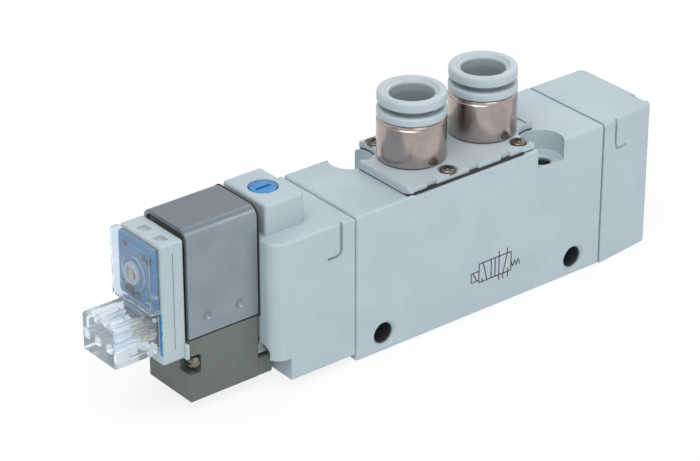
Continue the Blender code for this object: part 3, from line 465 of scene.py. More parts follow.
def makeBody(s):
    boreLine = [(0, -1), (s["bore"], -1)]
    for x in sorted([bodyMiddle, *fittingX.values(), *exhaustX]):
        boreLine += [(s["bore"], x - 1.2), (4.7, x - 1.2), (4.7, x + 1.2), (s["bore"], x + 1.2)]
    boreLine += [(s["bore"], s["length"] + 1), (0, s["length"] + 1)]
    cuts = [turned(boreLine, (0, 0, s["boreHeight"]), "X", 48)]
    radius, depth = s["portRadius"], s["portDepth"]
    for x in (exhaustX[0], bodyMiddle, exhaustX[1]):
        threads = [(radius, 0.9 + 0.5 * turn + shift) for turn in range(8) for shift in (0, 0.25)]
        threads = [(r + 0.22 * (number % 2), z) for number, (r, z) in enumerate(threads)]
        port = [(0, -1), (radius + 0.5, -1), (radius + 0.5, 0), *threads, (radius - 0.1, 4.9), (radius - 0.1, depth)]
        cuts.append(turned([*port, (1.1, depth), (1.1, s["boreHeight"]), (0, s["boreHeight"])], (x, 0, 0), "Z", 48))
    for x in fittingX.values():
        port = [(0, s["boreHeight"]), (1.1, s["boreHeight"]), (1.1, 21.15), (2.9, 21.15), (2.9, 21.7)]
        port += [(3.9, 21.7), (3.9, 24.3), (0, 24.3)]
        cuts.append(turned(port, (x, 0, 0), "Z", 48))
    for side in (-1, 1):
        at = (bodyMiddle + side * s["holePitch"] / 2, -side * s["holeY"], 0)
        floor = s["top"] - s["recessDepth"]
        hole = [(0, -1), (s["hole"], -1), (s["hole"], floor - 0.25), (s["hole"] + 0.25, floor),
                (s["recess"] - 0.3, floor)]
        hole += bend(s["recess"] - 0.3, floor + 0.3, 0.3, -90, 0, 3) + [(s["recess"], 24.3), (0, 24.3)]
        cuts.append(turned(hole, at, "Z", 56))
        x = bodyMiddle + side * s["sidePitch"] / 2
        outer, inner = s["side"] + 1, s["side"] - 0.5
        hole = [(0, -outer), (s["sideRim"] + 0.9, -outer), (s["sideHole"], -inner), (s["sideHole"], inner)]
        cuts.append(turned([*hole, (s["sideRim"] + 0.9, outer), (0, outer)], (x, 0, s["sideHeight"]), "Y", 48))
        for way, z in ((-side, 20.3), (side, 5.6)):
            ends = (-1, 4.9) if side < 0 else (s["length"] - 4.9, s["length"] + 1)
            cuts.append(turned(rod(0.95, *ends), (0, way * 5.6, z), "X", 20))
    for x, y in plateScrews:
        cuts.append(turned(rod(0.7, s["top"] - 3.5, s["top"] + 1), (bodyMiddle + x, y, 0), "Z", 16))
    shape = block((0, -s["side"], 0), (s["length"], s["side"], s["top"]), s["round"], steps=4)
    makePiece("bodyCasting", shape, "painted_casting", "valve_body", cuts=cuts, soft=0.09, finish=shadedHoleFinish(s))


# Adapter plate with the override's block

adapterSet = {"left": -14.4, "right": -0.3, "bottom": 1.4, "corner": 2.2, "blockLeft": -13.2, "blockRight": -6.5,
              "blockTop": 28.0, "hook": 2.7, "hookDepth": 5.0, "hookTail": 2.4, "hookWidth": 0.5}


def hookCuts(x, way, front, back):
    s = adapterSet
    cuts = []
    low = bodySet["top"] - s["hookDepth"]
    for y, side in ((front, -1), (back, 1)):
        line = [(x, bodySet["top"] + 1), (x, low + 0.8), (x + way * 0.25, low + 0.22), (x + way * 0.85, low)]
        line.append((x + way * s["hookTail"], low))
        ends = sorted((side * (y - s["hookWidth"]), side * (y + 1)))
        cuts.append(strip(line, s["hookWidth"], *ends))
    return cuts


def makeAdapter(s):
    side, top = bodySet["side"], bodySet["top"]
    shape = block((s["left"], -side, s["bottom"]), (s["right"], side, top))
    corners = [e for e in shape.edges if runsAlong(e, "Z") and e.verts[0].co.x < s["left"] + 1]
    bmesh.ops.bevel(shape, geom=corners, offset=s["corner"], segments=9, profile=0.5, affect="EDGES")
    upper = [e for e in shape.edges if all(v.co.z > top - 0.1 for v in e.verts)]
    bmesh.ops.bevel(shape, geom=upper, offset=0.4, segments=3, profile=0.5, affect="EDGES")
    raised = block((s["blockLeft"], -5, 20), (s["blockRight"], 5, s["blockTop"]), 0.5, steps=4)
    well = [(0, 11.8), (1.15, 11.8), (1.15, 19.7), (2.15, 19.7), (2.15, 27.6), (2.5, 28.0), (2.5, 29), (0, 29)]
    bore = [(0, -7.8), (5.6, -7.8), (5.6, -1.05), (7.0, -1.05), (7.0, 1), (0, 1)]
    cuts = [block((s["left"] - 1, -side - 1, 0.4), (s["left"] + 2.8, side + 1, 4.9)),
            turned(bore, (0, 0, 11.8), "X", 56), turned(well, (sum(span("override_button", "X")) / 2, 0, 0), "Z", 48),
            turned(rod(0.7, s["left"] - 1, -6.8), (0, 0, 7.5), "X", 16), *hookCuts(-s["hook"], -1, side, side)]
    for way in (-1, 1):
        cuts.append(turned(rod(0.75, s["left"] - 1, s["left"] + 4.9), (0, way * 3.9, 7.5), "X", 20))
        y, z = (5.6, 20.3) if way > 0 else (-5.6, 5.6)
        hole = [(0, -16), (1.4, -16), (1.4, s["left"] + 2.2), (0.95, s["left"] + 2.2), (0.95, 1), (0, 1)]
        cuts.append(turned(hole, (0, y, z), "X", 32))
    makePiece("adapterShell", shape, "pale_resin", "adapter_plate", [raised], cuts, 0.1)


# End cover

endSet = {"left": 47.12, "right": 58.0, "taper": 1.1, "corner": 1.3}


def makeEndCover(s):
    side, top = bodySet["side"], bodySet["top"]
    front = -side + s["taper"]
    outline = [(s["left"], -side), *bend(s["right"] - s["corner"], front + s["corner"], s["corner"], -84, 0, 6)]
    outline += bend(s["right"] - s["corner"], side - s["corner"], s["corner"], 0, 90, 6) + [(s["left"], side)]
    shape = slab(outline, "Z", 0, top)
    upper = [e for e in shape.edges if all(v.co.z > top - 0.1 for v in e.verts) and
             not all(v.co.x < s["left"] + 0.1 for v in e.verts)]
    bmesh.ops.bevel(shape, geom=upper, offset=0.55, segments=4, profile=0.5, affect="EDGES")
    chamber = [(0, 46), (7.0, 46), (7.0, s["left"] + 0.75), (3.4, s["left"] + 0.75), (3.4, 56.2), (0, 56.2)]
    cuts = [turned(chamber, (0, 0, 11.8), "X", 56), *hookCuts(bodySet["length"] + 2.7, 1, side - 0.25, side)]
    for way in (-1, 1):
        y, z = (-5.6, 20.3) if way > 0 else (5.6, 5.6)
        seat = s["right"] - 2.8
        hole = [(0, 46), (0.95, 46), (0.95, seat), (1.4, seat), (1.4, 59), (0, 59)]
        cuts.append(turned(hole, (0, y, z), "X", 32))
    cuts.append(block((s["right"] - 1.1, -6.2, top - 0.5), (s["right"] + 1, -3.4, top + 1)))
    makePiece("endCoverShell", shape, "pale_resin", "end_cover", (), cuts, 0.1)


# Port plate, its gasket sheet and screws

plateSet = {"length": 28.2, "side": 8.1, "low": 23.55, "high": 24.5, "corner": 1.2, "recess": 3.6}
plateScrews = [(-5.6, -6.8), (-8.1, 6.5), (5.6, 6.8), (8.1, -6.5)]


def plateCuts(s, low, high, hole, screw):
    cuts = []
    for side in (-1, 1):
        at = (bodyMiddle + side * bodySet["holePitch"] / 2, -side * bodySet["holeY"], 0)
        cuts.append(turned(rod(s["recess"], low - 1, high + 1), at, "Z", 56))
    cuts += [turned(rod(hole, low - 1, high + 1), (x, 0, 0), "Z", 40) for x in fittingX.values()]
    cuts += [turned(rod(screw, low - 1, high + 1), (bodyMiddle + x, y, 0), "Z", 20) for x, y in plateScrews]
    return cuts


def makePortPlate(s):
    left, right = bodyMiddle - s["length"] / 2, bodyMiddle + s["length"] / 2
    shape = block((left, -s["side"], s["low"]), (right, s["side"], s["high"]), s["corner"], "Z", 5)
    rims = [block((left + 0.1, -s["side"] + 0.1, s["high"] - 0.4), (left + 1.0, 3.0, s["high"] + 0.22), 0.08)]
    rims.append(block((right - 1.0, -3.0, s["high"] - 0.4), (right - 0.1, s["side"] - 0.1, s["high"] + 0.22), 0.08))
    cuts = plateCuts(s, s["low"], s["high"], 2.75, 0.7)
    cuts += [turned(rod(1.5, s["high"] - 0.4, s["high"] + 1), (bodyMiddle + x, y, 0), "Z", 32)
             for x, y in plateScrews]
    cuts += [block((bodyMiddle + x - 0.9, -s["side"] - 1, 23), (bodyMiddle + x + 0.9, -s["side"] + 0.35, 26),
                   0.2, "Z")
             for x in (-9.6, -1.8, 4.2)]
    makePiece("portPlateShell", shape, "white_resin", "port_plate", rims, cuts, 0.1)
    inset = 0.12
    sheet = block((left + inset, -s["side"] + inset, bodySet["top"] + 0.03),
                  (right - inset, s["side"] - inset, s["low"] - 0.03))
    # painted shade: a black rubber lip along the front stands in for the shadow gap under the plate's front edge
    edge = block((left + 1.2, -bodySet["side"] + 0.06, 23.32), (right - 6.5, -s["side"] + 0.6, s["low"] + 0.12))
    makePiece("plateShadowGapLip", edge, "black_rubber")
    makePiece("plateGasketSheet", sheet, "black_rubber", (), (), plateCuts(s, 23.3, 23.6, 4.1, 0.75))


def makeScrew(name, at, axis, seat, tip, shank, head, height, finish=None):
    out = 1 if seat > tip else -1
    profile = [(0, tip), (shank * 0.6, tip), (shank * 0.85, tip + out * shank * 0.6)]
    turns = int(abs(seat - tip) / 0.34) - 1
    for turn in range(turns):
        place = tip + out * (shank * 0.6 + 0.34 * turn)
        if abs(seat - place) > 0.7:
            profile += [(shank * 0.85, place + out * 0.08), (shank, place + out * 0.2)]
    profile += [(shank * 0.85, seat - out * 0.35), (shank * 0.85, seat), (head * 0.97, seat),
                (head, seat + out * 0.08)]
    top = seat + out * height
    profile += [(head, seat + out * height * 0.45)]
    profile += [(head * math.cos(a), seat + out * height * (0.45 + 0.55 * math.sin(a)))
                for a in (math.radians(v) for v in (15, 30, 45, 60, 75))]
    shape = turned([*profile, (0, top)], at, axis, 28)
    cuts = []
    for sizes in ((head * 0.58, head * 0.12), (head * 0.12, head * 0.58)):
        size = list(sizes)
        size.insert("XYZ".index(axis), height * 0.55)
        middle = Vector(at)
        middle["XYZ".index(axis)] += top
        cuts.append(block(middle - Vector(size), middle + Vector(size)))
    makePiece(name + "Fine", shape, "steel", name, (), cuts, 0.02, finish=finish)


def makeScrews():
    for number, (x, y) in enumerate(plateScrews, 1):
        makeScrew(f"plate_screw_{number}", (bodyMiddle + x, y, 0), "Z", 24.1, 20.1, 0.55, 1.2, 0.8, shadedScrewSteel)
    for where, way in (("front", -1), ("back", 1)):
        low, high = span(f"pilot_screw_{where}", "X")
        makeScrew(f"pilot_screw_{where}", (0, way * 3.9, 7.5), "X", low + 0.3, high, 0.6, 1.1, 1.3, shadedScrewSteel)
    for where, z in (("high", 20.3), ("low", 5.6)):
        way = 1 if where == "high" else -1
        low, high = span(f"adapter_screw_{where}", "X")
        makeScrew(f"adapter_screw_{where}", (0, way * 5.6, z), "X", low + 1.2, high, 0.8, 1.25, 1.2)
        low, high = span(f"end_cover_screw_{where}", "X")
        makeScrew(f"end_cover_screw_{where}", (0, -way * 5.6, z), "X", high - 1.2, low, 0.8, 1.25, 1.2)


# Push-in fittings

fittingSet = {"radius": 5.1, "low": 24.65, "high": 31.1, "bore": 4.3, "flow": 1.6, "stem": 2.6, "stemLow": 21.45,
              "stop": 26.0, "seat": 27.2, "guide": 3.15}


def makeFitting(name, x, s):
    at, radius = (x, 0, 0), s["radius"]
    shell = [(s["flow"], s["stemLow"]), (s["stem"] - 0.2, s["stemLow"]), (s["stem"], s["stemLow"] + 0.2),
             (s["stem"], s["low"])]
    shell += bend(radius - 0.25, s["low"] + 0.25, 0.25, -90, 0, 3)
    shell += [(radius, s["high"] - 0.55), (radius - 0.12, s["high"] - 0.45), (radius - 0.12, s["high"] - 0.25)]
    shell += [(radius - 0.22, s["high"]), (s["bore"], s["high"]), (s["bore"], s["seat"]), (s["guide"], s["seat"])]
    shell += [(s["guide"], s["stop"]), (s["flow"], s["stop"])]
    makePiece(f"fittingShell_{name}", turned(shell, at, "Z", 96), "nickel", f"fitting_shell_{name}")
    low, high = span(f"fitting_collar_{name}", "Z")
    mid = low + 1.25
    collar = [(3.7, low), (4.15, low), (4.15, mid), (radius - 0.18, mid),
              *bend(radius - 0.2, mid + 0.2, 0.2, -90, 0, 3)]
    collar += [*bend(radius - 0.3, high - 0.3, 0.3, 0, 90, 4), (4.3, high), (4.15, high - 0.25),
               (3.85, high - 0.25), (3.7, high - 0.1)]
    makePiece(f"fittingCollar_{name}", turned(collar, at, "Z", 96), "white_resin", f"fitting_collar_{name}")
    low, high = span(f"release_bushing_{name}", "Z")
    head, edge = high - 1.55, 0.42
    bushing = [(3.05, low), (3.5, low + 0.15), (3.5, head), *bend(4.85, head + 0.2, 0.2, -90, 0, 3)]
    bushing += [*bend(5.05 - edge, high - edge, edge, 0, 90, 6), (4.35, high),
                *bend(4.1, high - 0.3, 0.3, 80, 130, 3)]
    bushing += [(3.75, high - 0.28), *bend(3.65, high - 0.75, 0.42, 100, 175, 4), (3.1, high - 1.6),
                (3.05, high - 1.8)]
    # painted shade: the bushing is coloured darker inside its mouth, where the tube bore is in shade
    mouth = ("Z", (start.x / mm + x, 0, 0), 3.45, 34.7)
    shadedMouth = mouldedFinish(f"bushingResinShadedMouth_{name}", {**whiteLook, "shadedHoles": [mouth]})
    makePiece(f"releaseBushing_{name}", turned(bushing, at, "Z", 96), "white_resin", f"release_bushing_{name}",
              body=f"release_{name}", finish=shadedMouth)
    low, high = span(f"tube_seal_{name}", "Z")
    seal = [(3.05, low + 0.35), (3.3, low), (4.15, low), (4.15, high), (3.3, high), (3.05, high - 0.35),
            (3.25, (low + high) / 2)]
    makePiece(f"tubeSeal_{name}", turned(seal, at, "Z", 64), "black_rubber", f"tube_seal_{name}")
    low, high = span(f"tube_chuck_{name}", "Z")
    chuck = [(3.05, low), (3.2, low), (4.15, low + 0.7), (4.15, high), (3.85, high)]
    slots = []
    for turn in range(8):
        outline = [(x - 0.12, 0.5), (x + 0.12, 0.5), (x + 0.12, 3.85), (x - 0.12, 3.85)]
        slot = slab(outline, "Z", low - 0.5, high + 0.5)
        bmesh.ops.rotate(slot, cent=at, matrix=Matrix.Rotation(turn * math.tau / 8, 3, "Z"), verts=slot.verts)
        slots.append(slot)
    makePiece(f"tubeChuck_{name}", turned(chuck, at, "Z", 64), "steel", f"tube_chuck_{name}", (), slots)
    low, high = span(f"port_seal_{name}", "Z")
    makePiece(f"portSeal_{name}", turned(ring(2.75, 3.75, low, high, 0.3), at, "Z", 56), "black_rubber",
              f"port_seal_{name}")


# Spool, piston, springs and the override

def makeSpoolSet():
    at = (0, 0, 11.8)
    left, right = span("spool", "X")
    line = [(0, left), (1.7, left), (2.0, left + 0.3)]
    for number in range(1, 7):
        x = sum(span(f"spool_seal_{number}", "X")) / 2
        line += [(2.0, x - 1.1), (3.6, x - 1.1), (3.7, x - 1.0), (3.7, x - 0.7), (3.0, x - 0.7), (3.0, x + 0.7)]
        line += [(3.7, x + 0.7), (3.7, x + 1.0), (3.6, x + 1.1), (2.0, x + 1.1)]
        seal = [(3.15, x - 0.5), (3.7, x - 0.5), *bend(3.7, x, 0.35, -70, 70, 4), (3.7, x + 0.5), (3.15, x + 0.5)]
        makePiece(f"spoolSeal_{number}", turned(seal, at, "X", 56), "black_rubber", f"spool_seal_{number}",
                  body="spool_set")
    seat = right - 2.0
    line += [(2.0, seat - 1.2), (3.0, seat - 1.2), (3.0, seat), (1.8, seat), (1.8, right - 0.4), (1.4, right),
             (0, right)]
    makePiece("spoolTurned", turned(line, at, "X", 64), "aluminium", "spool", body="spool_set")
    left, right = span("piston", "X")
    ringLow, ringHigh = span("piston_seal", "X")
    face = left + 4.4
    line = [(0, left + 0.6), (2.6, left + 0.6), (3.0, left), (4.9, left), (5.2, left + 0.3),
            (5.2, ringLow - 0.2), (4.3, ringLow - 0.2)]
    line += [(4.3, ringHigh + 0.2), (5.2, ringHigh + 0.2), (5.2, face - 0.2), (5.0, face), (2.4, face),
             (2.4, right), (0, right)]
    makePiece("pistonMoulded", turned(line, at, "X", 64), "white_resin", "piston", body="spool_set")
    lip = [(4.45, ringLow), (5.5, ringLow), (5.1, (ringLow + ringHigh) / 2), (5.5, ringHigh), (4.45, ringHigh)]
    makePiece("pistonSeal", turned(lip, at, "X", 64), "black_rubber", "piston_seal", body="spool_set")


springSet = {
    "return_spring": {"axis": "X", "at": (0, 0, 11.8), "radius": 2.45, "wire": 0.26, "turns": 7.5,
                      "joint": "spool_slide", "fixed": 1, "travel": 2.4},
    "override_spring": {"axis": "Z", "at": (-9.85, 0, 0), "radius": 1.45, "wire": 0.17, "turns": 5.5,
                        "joint": "override_press", "fixed": 0, "travel": 1.0},
    "armature_spring": {"axis": "Z", "at": (-20.9, 0, 0), "radius": 2.15, "wire": 0.12, "turns": 3.5,
                        "joint": "armature_lift", "fixed": 1, "travel": 0.4},
}


def makeSpring(name, s):
    ends = span(name, s["axis"])
    low, high = ends[0] + s["wire"], ends[1] - s["wire"]
    steps, sides = int(s["turns"] * 28), 8
    shape = bmesh.new()
    rings = []
    for step in range(steps + 1):
        share = step / steps
        closed = min(1.0, max(0.0, (share - 0.1) / 0.8))  # the end turns lie flat
        along = low + (high - low) * (0.06 * share + 0.94 * closed)
        angle = math.tau * s["turns"] * share
        circle = []
        for side in range(sides):
            turn = math.tau * side / sides
            radius = s["radius"] + s["wire"] * math.cos(turn)
            place = Vector((radius * math.cos(angle), radius * math.sin(angle), along + s["wire"] * math.sin(turn)))
            if s["axis"] == "X":
                place = Vector((place.z, place.y, -place.x))
            circle.append(shape.verts.new(place + Vector(s["at"])))
        rings.append(circle)
    for first, second in zip(rings, rings[1:]):
        for side in range(sides):
            after = (side + 1) % sides
            shape.faces.new((first[side], first[after], second[after], second[side]))
    shape.faces.new(rings[0])
    shape.faces.new(rings[-1])
    bmesh.ops.recalc_face_normals(shape, faces=shape.faces)
    piece = makePiece(name + "Wire", shape, "steel", name)
    anchor = list(s["at"])
    anchor["XYZ".index(s["axis"])] = ends[s["fixed"]]
    1 - s["travel"] / (ends[1] - ends[0])
    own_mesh(piece)


def makeOverride():
    x = sum(span("override_button", "X")) / 2
    low, high = span("override_button", "Z")
    shoulder = high - 4.0
    line = [(0, low), (0.7, low), (0.9, low + 0.2), (0.9, shoulder), (1.85, shoulder), (2.0, shoulder + 0.15)]
    line += [(2.0, high - 0.25), *bend(1.75, high - 0.25, 0.25, 0, 90, 4), (0, high)]
    slot = block((x - 1.3, -0.3, high - 0.5), (x + 1.3, 0.3, high + 1), 0.2, "Z")
    makePiece("overrideButton", turned(line, (x, 0, 0), "Z", 56), "blue_resin", "override_button", (), [slot],
              0.05, "override")
    rim = turned(ring(2.2, 2.48, 27.65, 28.0, 0.06), (x, 0, 0), "Z", 56)
    makePiece("overrideRim", rim, "white_resin")


# Pilot valve

pilotSet = {"left": -26.5, "right": -14.7, "half": 5.0, "low": 1.6, "join": 11.4, "coverLow": 11.7, "top": 28.3,
            "sheet": 0.6, "corner": 1.6, "coil": -20.9, "dimple": 2.75}


def makePilot(s):
    half, left, right = s["half"], s["left"], s["right"]
    shape = block((left, -half, s["low"]), (right, half, s["join"]), 0.3)
    toe = block((right - 2, -half + 0.1, s["low"] + 0.05), (right + 2.3, half - 0.1, s["low"] + 2.9), 0.15)
    chamber = [(0, 0), (0.8, 0), (0.8, 5.0), (2.6, 5.0), (2.6, 12.5), (0, 12.5)]
    cuts = [turned(chamber, (s["coil"], 0, 0), "Z", 48), turned(rod(0.6, s["coil"], right + 1), (0, 0, 7.5), "X", 20),
            block((right - 0.7, -2.4, 5.1), (right + 1, 2.4, 9.9))]
    for way in (-1, 1):
        cuts.append(turned(rod(0.75, left - 1, right + 1), (0, way * 3.9, 7.5), "X", 20))
        low, high = sorted((way * 2.5, way * 6.0))
        cuts.append(block((left - 1, low, 6.0), (left + 1.85, high, 9.0), 0.3))
    makePiece("pilotBaseMoulded", shape, "dark_resin", "pilot_base", [toe], cuts, 0.08)
    # painted shade: a thin black sheet in the gap between the cover's right end and the adapter stands in for the
    # shadow there
    rim = [(half + 0.1, s["join"])]
    rim += bend(half + 0.1 - s["corner"], s["top"] + 0.04 - s["corner"], s["corner"], 0, 90, 8)
    rim += [(-y, z) for y, z in reversed(rim)]
    makePiece("pilotGapShadowSheet", slab(rim, "X", right + 0.04, right + 0.25), "black_rubber")
    arches = []
    for shrink in (0, s["sheet"]):
        radius, edge, top = s["corner"] - shrink, half - shrink, s["top"] - shrink
        points = [(edge, s["coverLow"]), *bend(edge - radius, top - radius, radius, 0, 90, 8)]
        arches.append(points + bend(radius - edge, top - radius, radius, 90, 180, 8) + [(-edge, s["coverLow"])])
    shape = slab(arches[0] + arches[1][::-1], "X", left, right)
    dimples = []
    for way in (-1, 1):
        for shift in (-s["dimple"], s["dimple"]):
            x = (left + right) / 2 + shift
            bowl = [(0, half - 0.42)]
            bowl += [(0.66 * math.sin(a), half + 0.02 - 0.44 * math.cos(a)) for a in (0.3, 0.6, 0.9, 1.2)]
            bowl += [(0.7, half + 0.02), (0.7, half + 1), (0, half + 1)]
            bowl = [(r, way * y) for r, y in bowl]
            dimples.append(turned(bowl, (x, 0, 14.4), "Y", 28))
    makePiece("pilotCoverSheet", shape, "grey_sheet", "pilot_cover", (), dimples, 0.06)
    fill = block((left + 0.4, -half + 0.7, 11.8), (right - 0.5, half - 0.7, s["top"] - 0.75), 0.9, "X", 4)
    hollow = turned(rod(4.25, 11, 28.5), (s["coil"], 0, 0), "Z", 56)
    makePiece("coilPotting", fill, "dark_resin", (), (), [hollow])
    low, high = span("coil_bobbin", "Z")
    line = [(2.1, low), (4.0, low), (4.1, low + 0.1), (4.1, low + 0.7), (4.0, low + 0.8), (2.55, low + 0.8),
            (2.55, high - 0.8)]
    line += [(4.0, high - 0.8), (4.1, high - 0.7), (4.1, high - 0.1), (4.0, high), (2.1, high)]
    makePiece("coilBobbin", turned(line, (s["coil"], 0, 0), "Z", 56), "dark_resin", "coil_bobbin")
    low, high = span("coil_winding", "Z")
    turns = 26
    line = [(2.7, low), *[(3.66 + 0.13 * math.sin(math.pi * (n % 2)) + 0.12 * (n % 2), low + (high - low) * n / turns)
                          for n in range(turns + 1)], (2.7, high)]
    makePiece("coilWinding", turned(line, (s["coil"], 0, 0), "Z", 56), "copper", "coil_winding")


# Plug connector

plugSet = {"film": -31.15, "left": -30.7, "right": -26.8, "half": 4.7, "low": 8.9, "top": 27.3, "face": -32.4,
           "coverLow": 16.8,
           "plugLeft": -38.0, "plugHalf": 3.9, "plugLow": 10.5, "plugTop": 16.5, "noseEnd": -28.2}


def makeConnector(s):
    left, right, half, top = s["left"], s["right"], s["half"], s["top"]
    shape = block((left, -half, s["low"]), (right, half, top), 0.4, steps=4)
    cuts = [block((left - 1, -half + 0.6, 17.4), (left + 1.5, half - 0.6, 26.4), 0.3, "X"),
            block((left - 1, -3.8, 11.6), (left + 2.7, 3.8, 15.4), 0.3, "X")]
    cuts += [turned(rod(0.36, left + 0.5, right - 0.35), (0, y, 13.5), "X", 20) for y in (-2.7, 0)]
    cuts += [block((left + 0.9, y - 0.9, top - 0.5), (left + 2.4, y + 0.9, top + 1), 0.15, "Z") for y in (-2.6, 1.2)]
    cuts.append(block((left + 1.9, -half - 1, s["low"] + 2), (left + 2.15, -half + 0.15, top - 1.5)))
    nub = block((right - 0.3, -half - 0.45, s["low"] - 0.1), (right + 0.24, -half + 0.5, s["low"] + 2.2), 0.1)
    makePiece("connectorMoulding", shape, "white_resin", "connector_block", [nub], cuts, 0.08)
    shape = block((s["face"], -half - 0.1, s["coverLow"]), (left - 0.15, half + 0.1, top), 0.45, steps=4)
    inner = block((s["face"] + 0.35, -half + 0.25, s["coverLow"] + 0.35), (left + 1, half - 0.25, top - 0.35), 0.25)
    makePiece("lightCoverShell", shape, "clear_resin", "light_cover", (), [inner])
    low, high = span("circuit_board", "X")
    shape = block((low, -3.95, 17.55), (high, 3.95, 26.25), 0.25, "X")
    makePiece("boardSheet", shape, "blue_resin", "circuit_board", finish=boardBlue)
    film = s["film"]
    shape = block((film, -4.2, 17.4), (film + 0.18, 4.15, 26.7), 0.5, "X")
    makePiece("backingFilm", shape, "blue_resin", finish=boardBlue)
    parts = [("resistorLeft", (2.6, 25.3), (0.9, 0.5), "dark_resin"),
             ("resistorRight", (-1.9, 24.9), (0.5, 0.9), "dark_resin"),
             ("diodeHigh", (-2.9, 24.5), (0.45, 0.8), "black_rubber"),
             ("diodeLow", (1.6, 18.6), (1.8, 1.0), "black_rubber"),
             ("choke", (-0.2, 18.3), (1.2, 0.8), "dark_resin"), ("padHigh", (3.4, 19.2), (0.5, 0.4), "brass"),
             ("padLow", (-2.6, 18.3), (0.5, 0.4), "brass")]
    for name, (y, z), (wide, tall), slot in parts:
        shape = block((film - 0.3, y - wide / 2, z - tall / 2), (film - 0.01, y + wide / 2, z + tall / 2), 0.06)
        makePiece(name, shape, slot)
    partLow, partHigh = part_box("surge_absorber")
    corners = [(c - start) / mm for c in (partLow, partHigh)]
    makePiece("surgeAbsorber", block(corners[0], corners[1], 0.12), "dark_resin", "surge_absorber")
    y, z = sum(span("indicator_lamp", "Y")) / 2, sum(span("indicator_lamp", "Z")) / 2
    low, high = span("indicator_lamp", "X")
    lampWall = [(0, high), (1.6, high), (1.62, low + 0.1), (1.52, low), (1.3, low), (1.2, low + 0.12),
                (1.2, low + 0.3), (0, low + 0.3)]
    makePiece("lampFrame", turned(lampWall, (0, y, z), "X", 56), "white_resin", "indicator_lamp", finish=frameWhite)
    halo = turned(ring(2.45, 2.75, film - 0.2, film - 0.01, 0.06), (0, y, z), "X", 56)
    makePiece("lampHalo", halo, "clear_resin")
    chip = block((low + 0.08, y - 0.5, z - 0.75), (low + 0.32, y + 0.5, z + 0.75), 0.06)
    makePiece("lampChip", chip, "white_resin", finish=cream)
    for side in (-1, 1):
        lead = block((low + 0.1, y + side * 0.72 - 0.12, z - 0.55),
                     (low + 0.32, y + side * 0.72 + 0.12, z + 0.55), 0.05)
        makePiece(f"lampLead_{(side + 3) // 2}", lead, "copper")
    strip = block((left - 0.04, -half + 0.12, 10.4), (left + 0.2, -half + 0.62, 17.0), 0.05)
    makePiece("boardStrip", strip, "blue_resin", finish=boardBlue)
    clip = block((film - 0.4, -half + 0.45, 19.4), (film + 0.2, -half + 1.3, 20.0), 0.12)
    makePiece("coverClip", clip, "white_resin")
    half, right = s["plugHalf"], left - 0.15
    shape = block((s["plugLeft"], -half, s["plugLow"]), (right, half, s["plugTop"]), 0.45, steps=4)
    nose = block((right - 0.6, -3.6, 11.8), (s["noseEnd"], 3.6, 15.2), 0.2)
    cuts = [turned([(0, -39), (1.0, -39), (0.75, s["plugLeft"] + 0.3), (0.75, -27), (0, -27)], (0, y, 13.5), "X", 32)
            for y in (-2.7, 0, 2.7)]
    cuts.append(block((s["plugLeft"] + 1.2, -2.6, s["plugTop"] - 1.1), (right - 1.0, 2.6, s["plugTop"] + 1), 0.35))
    cuts.append(block((s["plugLeft"] + 1.6, -half - 1, 11.6), (right - 1.2, -half + 0.35, 15.2), 0.3))
    cuts.append(block((s["plugLeft"] + 1.6, half - 0.35, 11.6), (right - 1.2, half + 1, 15.2), 0.3))
    makePiece("plugHousingClear", shape, "clear_resin", "plug_housing", [nose], cuts, 0.07, finish=plugClear)
    for number, y in ((1, -2.7), (2, 0)):
        low, high = span(f"plug_contact_{number}", "X")
        line = ring(0.35, 0.6, low, high, 0.05)
        crimp = block((low + 0.9, y - 0.2, 13.9), (low + 1.9, y + 0.2, 15))
        makePiece(f"plugContact_{number}", turned(line, (0, y, 13.5), "X", 32), "brass",
                  f"plug_contact_{number}", (), [crimp])
        low, high = span(f"terminal_pin_{number}", "X")
        makePiece(f"terminalPin_{number}", turned(rod(0.2, low, high, 0.08), (0, y, 13.5), "X", 24), "brass",
                  f"terminal_pin_{number}")


# Printed circuit symbol: a five-port, two-position valve with solenoid and spring

symbolSet = {"left": 21.2, "low": 5.0, "box": 3.1, "line": 0.2}


def makeSymbol(s):
    face = -bodySet["side"]
    size, x, z = s["box"], s["left"] + 1.7, s["low"]
    lines = []
    for number in range(2):
        a, b = x + number * size, x + (number + 1) * size
        lines += [[(a, z), (b, z)], [(a, z + size), (b, z + size)], [(a, z), (a, z + size)]]
    lines.append([(x + 2 * size, z), (x + 2 * size, z + size)])
    lines += [[(x + 0.75, z + size), (x + 1.55, z)], [(x + 2.35, z), (x + 2.35, z + size)],
              [(x + 0.6, z), (x + 0.6, z + 0.6)]]
    lines += [[(x + size + 1.55, z), (x + size + 2.35, z + size)],
              [(x + size + 0.75, z + size), (x + size + 0.75, z)]]
    lines += [[(x + size + 2.5, z), (x + size + 2.5, z + 0.6)]]
    lines += [[(x - 1.5, z + 0.4), (x, z + 0.4)], [(x - 1.5, z + 1.9), (x, z + 1.9)],
              [(x - 1.5, z + 0.4), (x - 1.5, z + 1.9)]]
    lines.append([(x - 1.2, z + 1.9), (x - 0.4, z + 0.4)])
    spring = [(x + 2 * size + 0.35 * n, z + (0.5 if n % 2 else 1.5)) for n in range(6)]
    lines += [list(pair) for pair in zip(spring, spring[1:])]
    lines += [[(x + size + d, z + size), (x + size + d, z + size + 0.9)] for d in (0.75, 2.35)]
    lines += [[(x + size + d, z), (x + size + d, z - 0.9)] for d in (0.75, 1.55, 2.5)]
    for number, line in enumerate(lines, 1):
        makePiece(f"symbolLine_{number}", strip(line, s["line"], face - 0.02, face + 0.03), "black_rubber",
                  finish=symbolInk)


# Small internals that keep their turned shapes

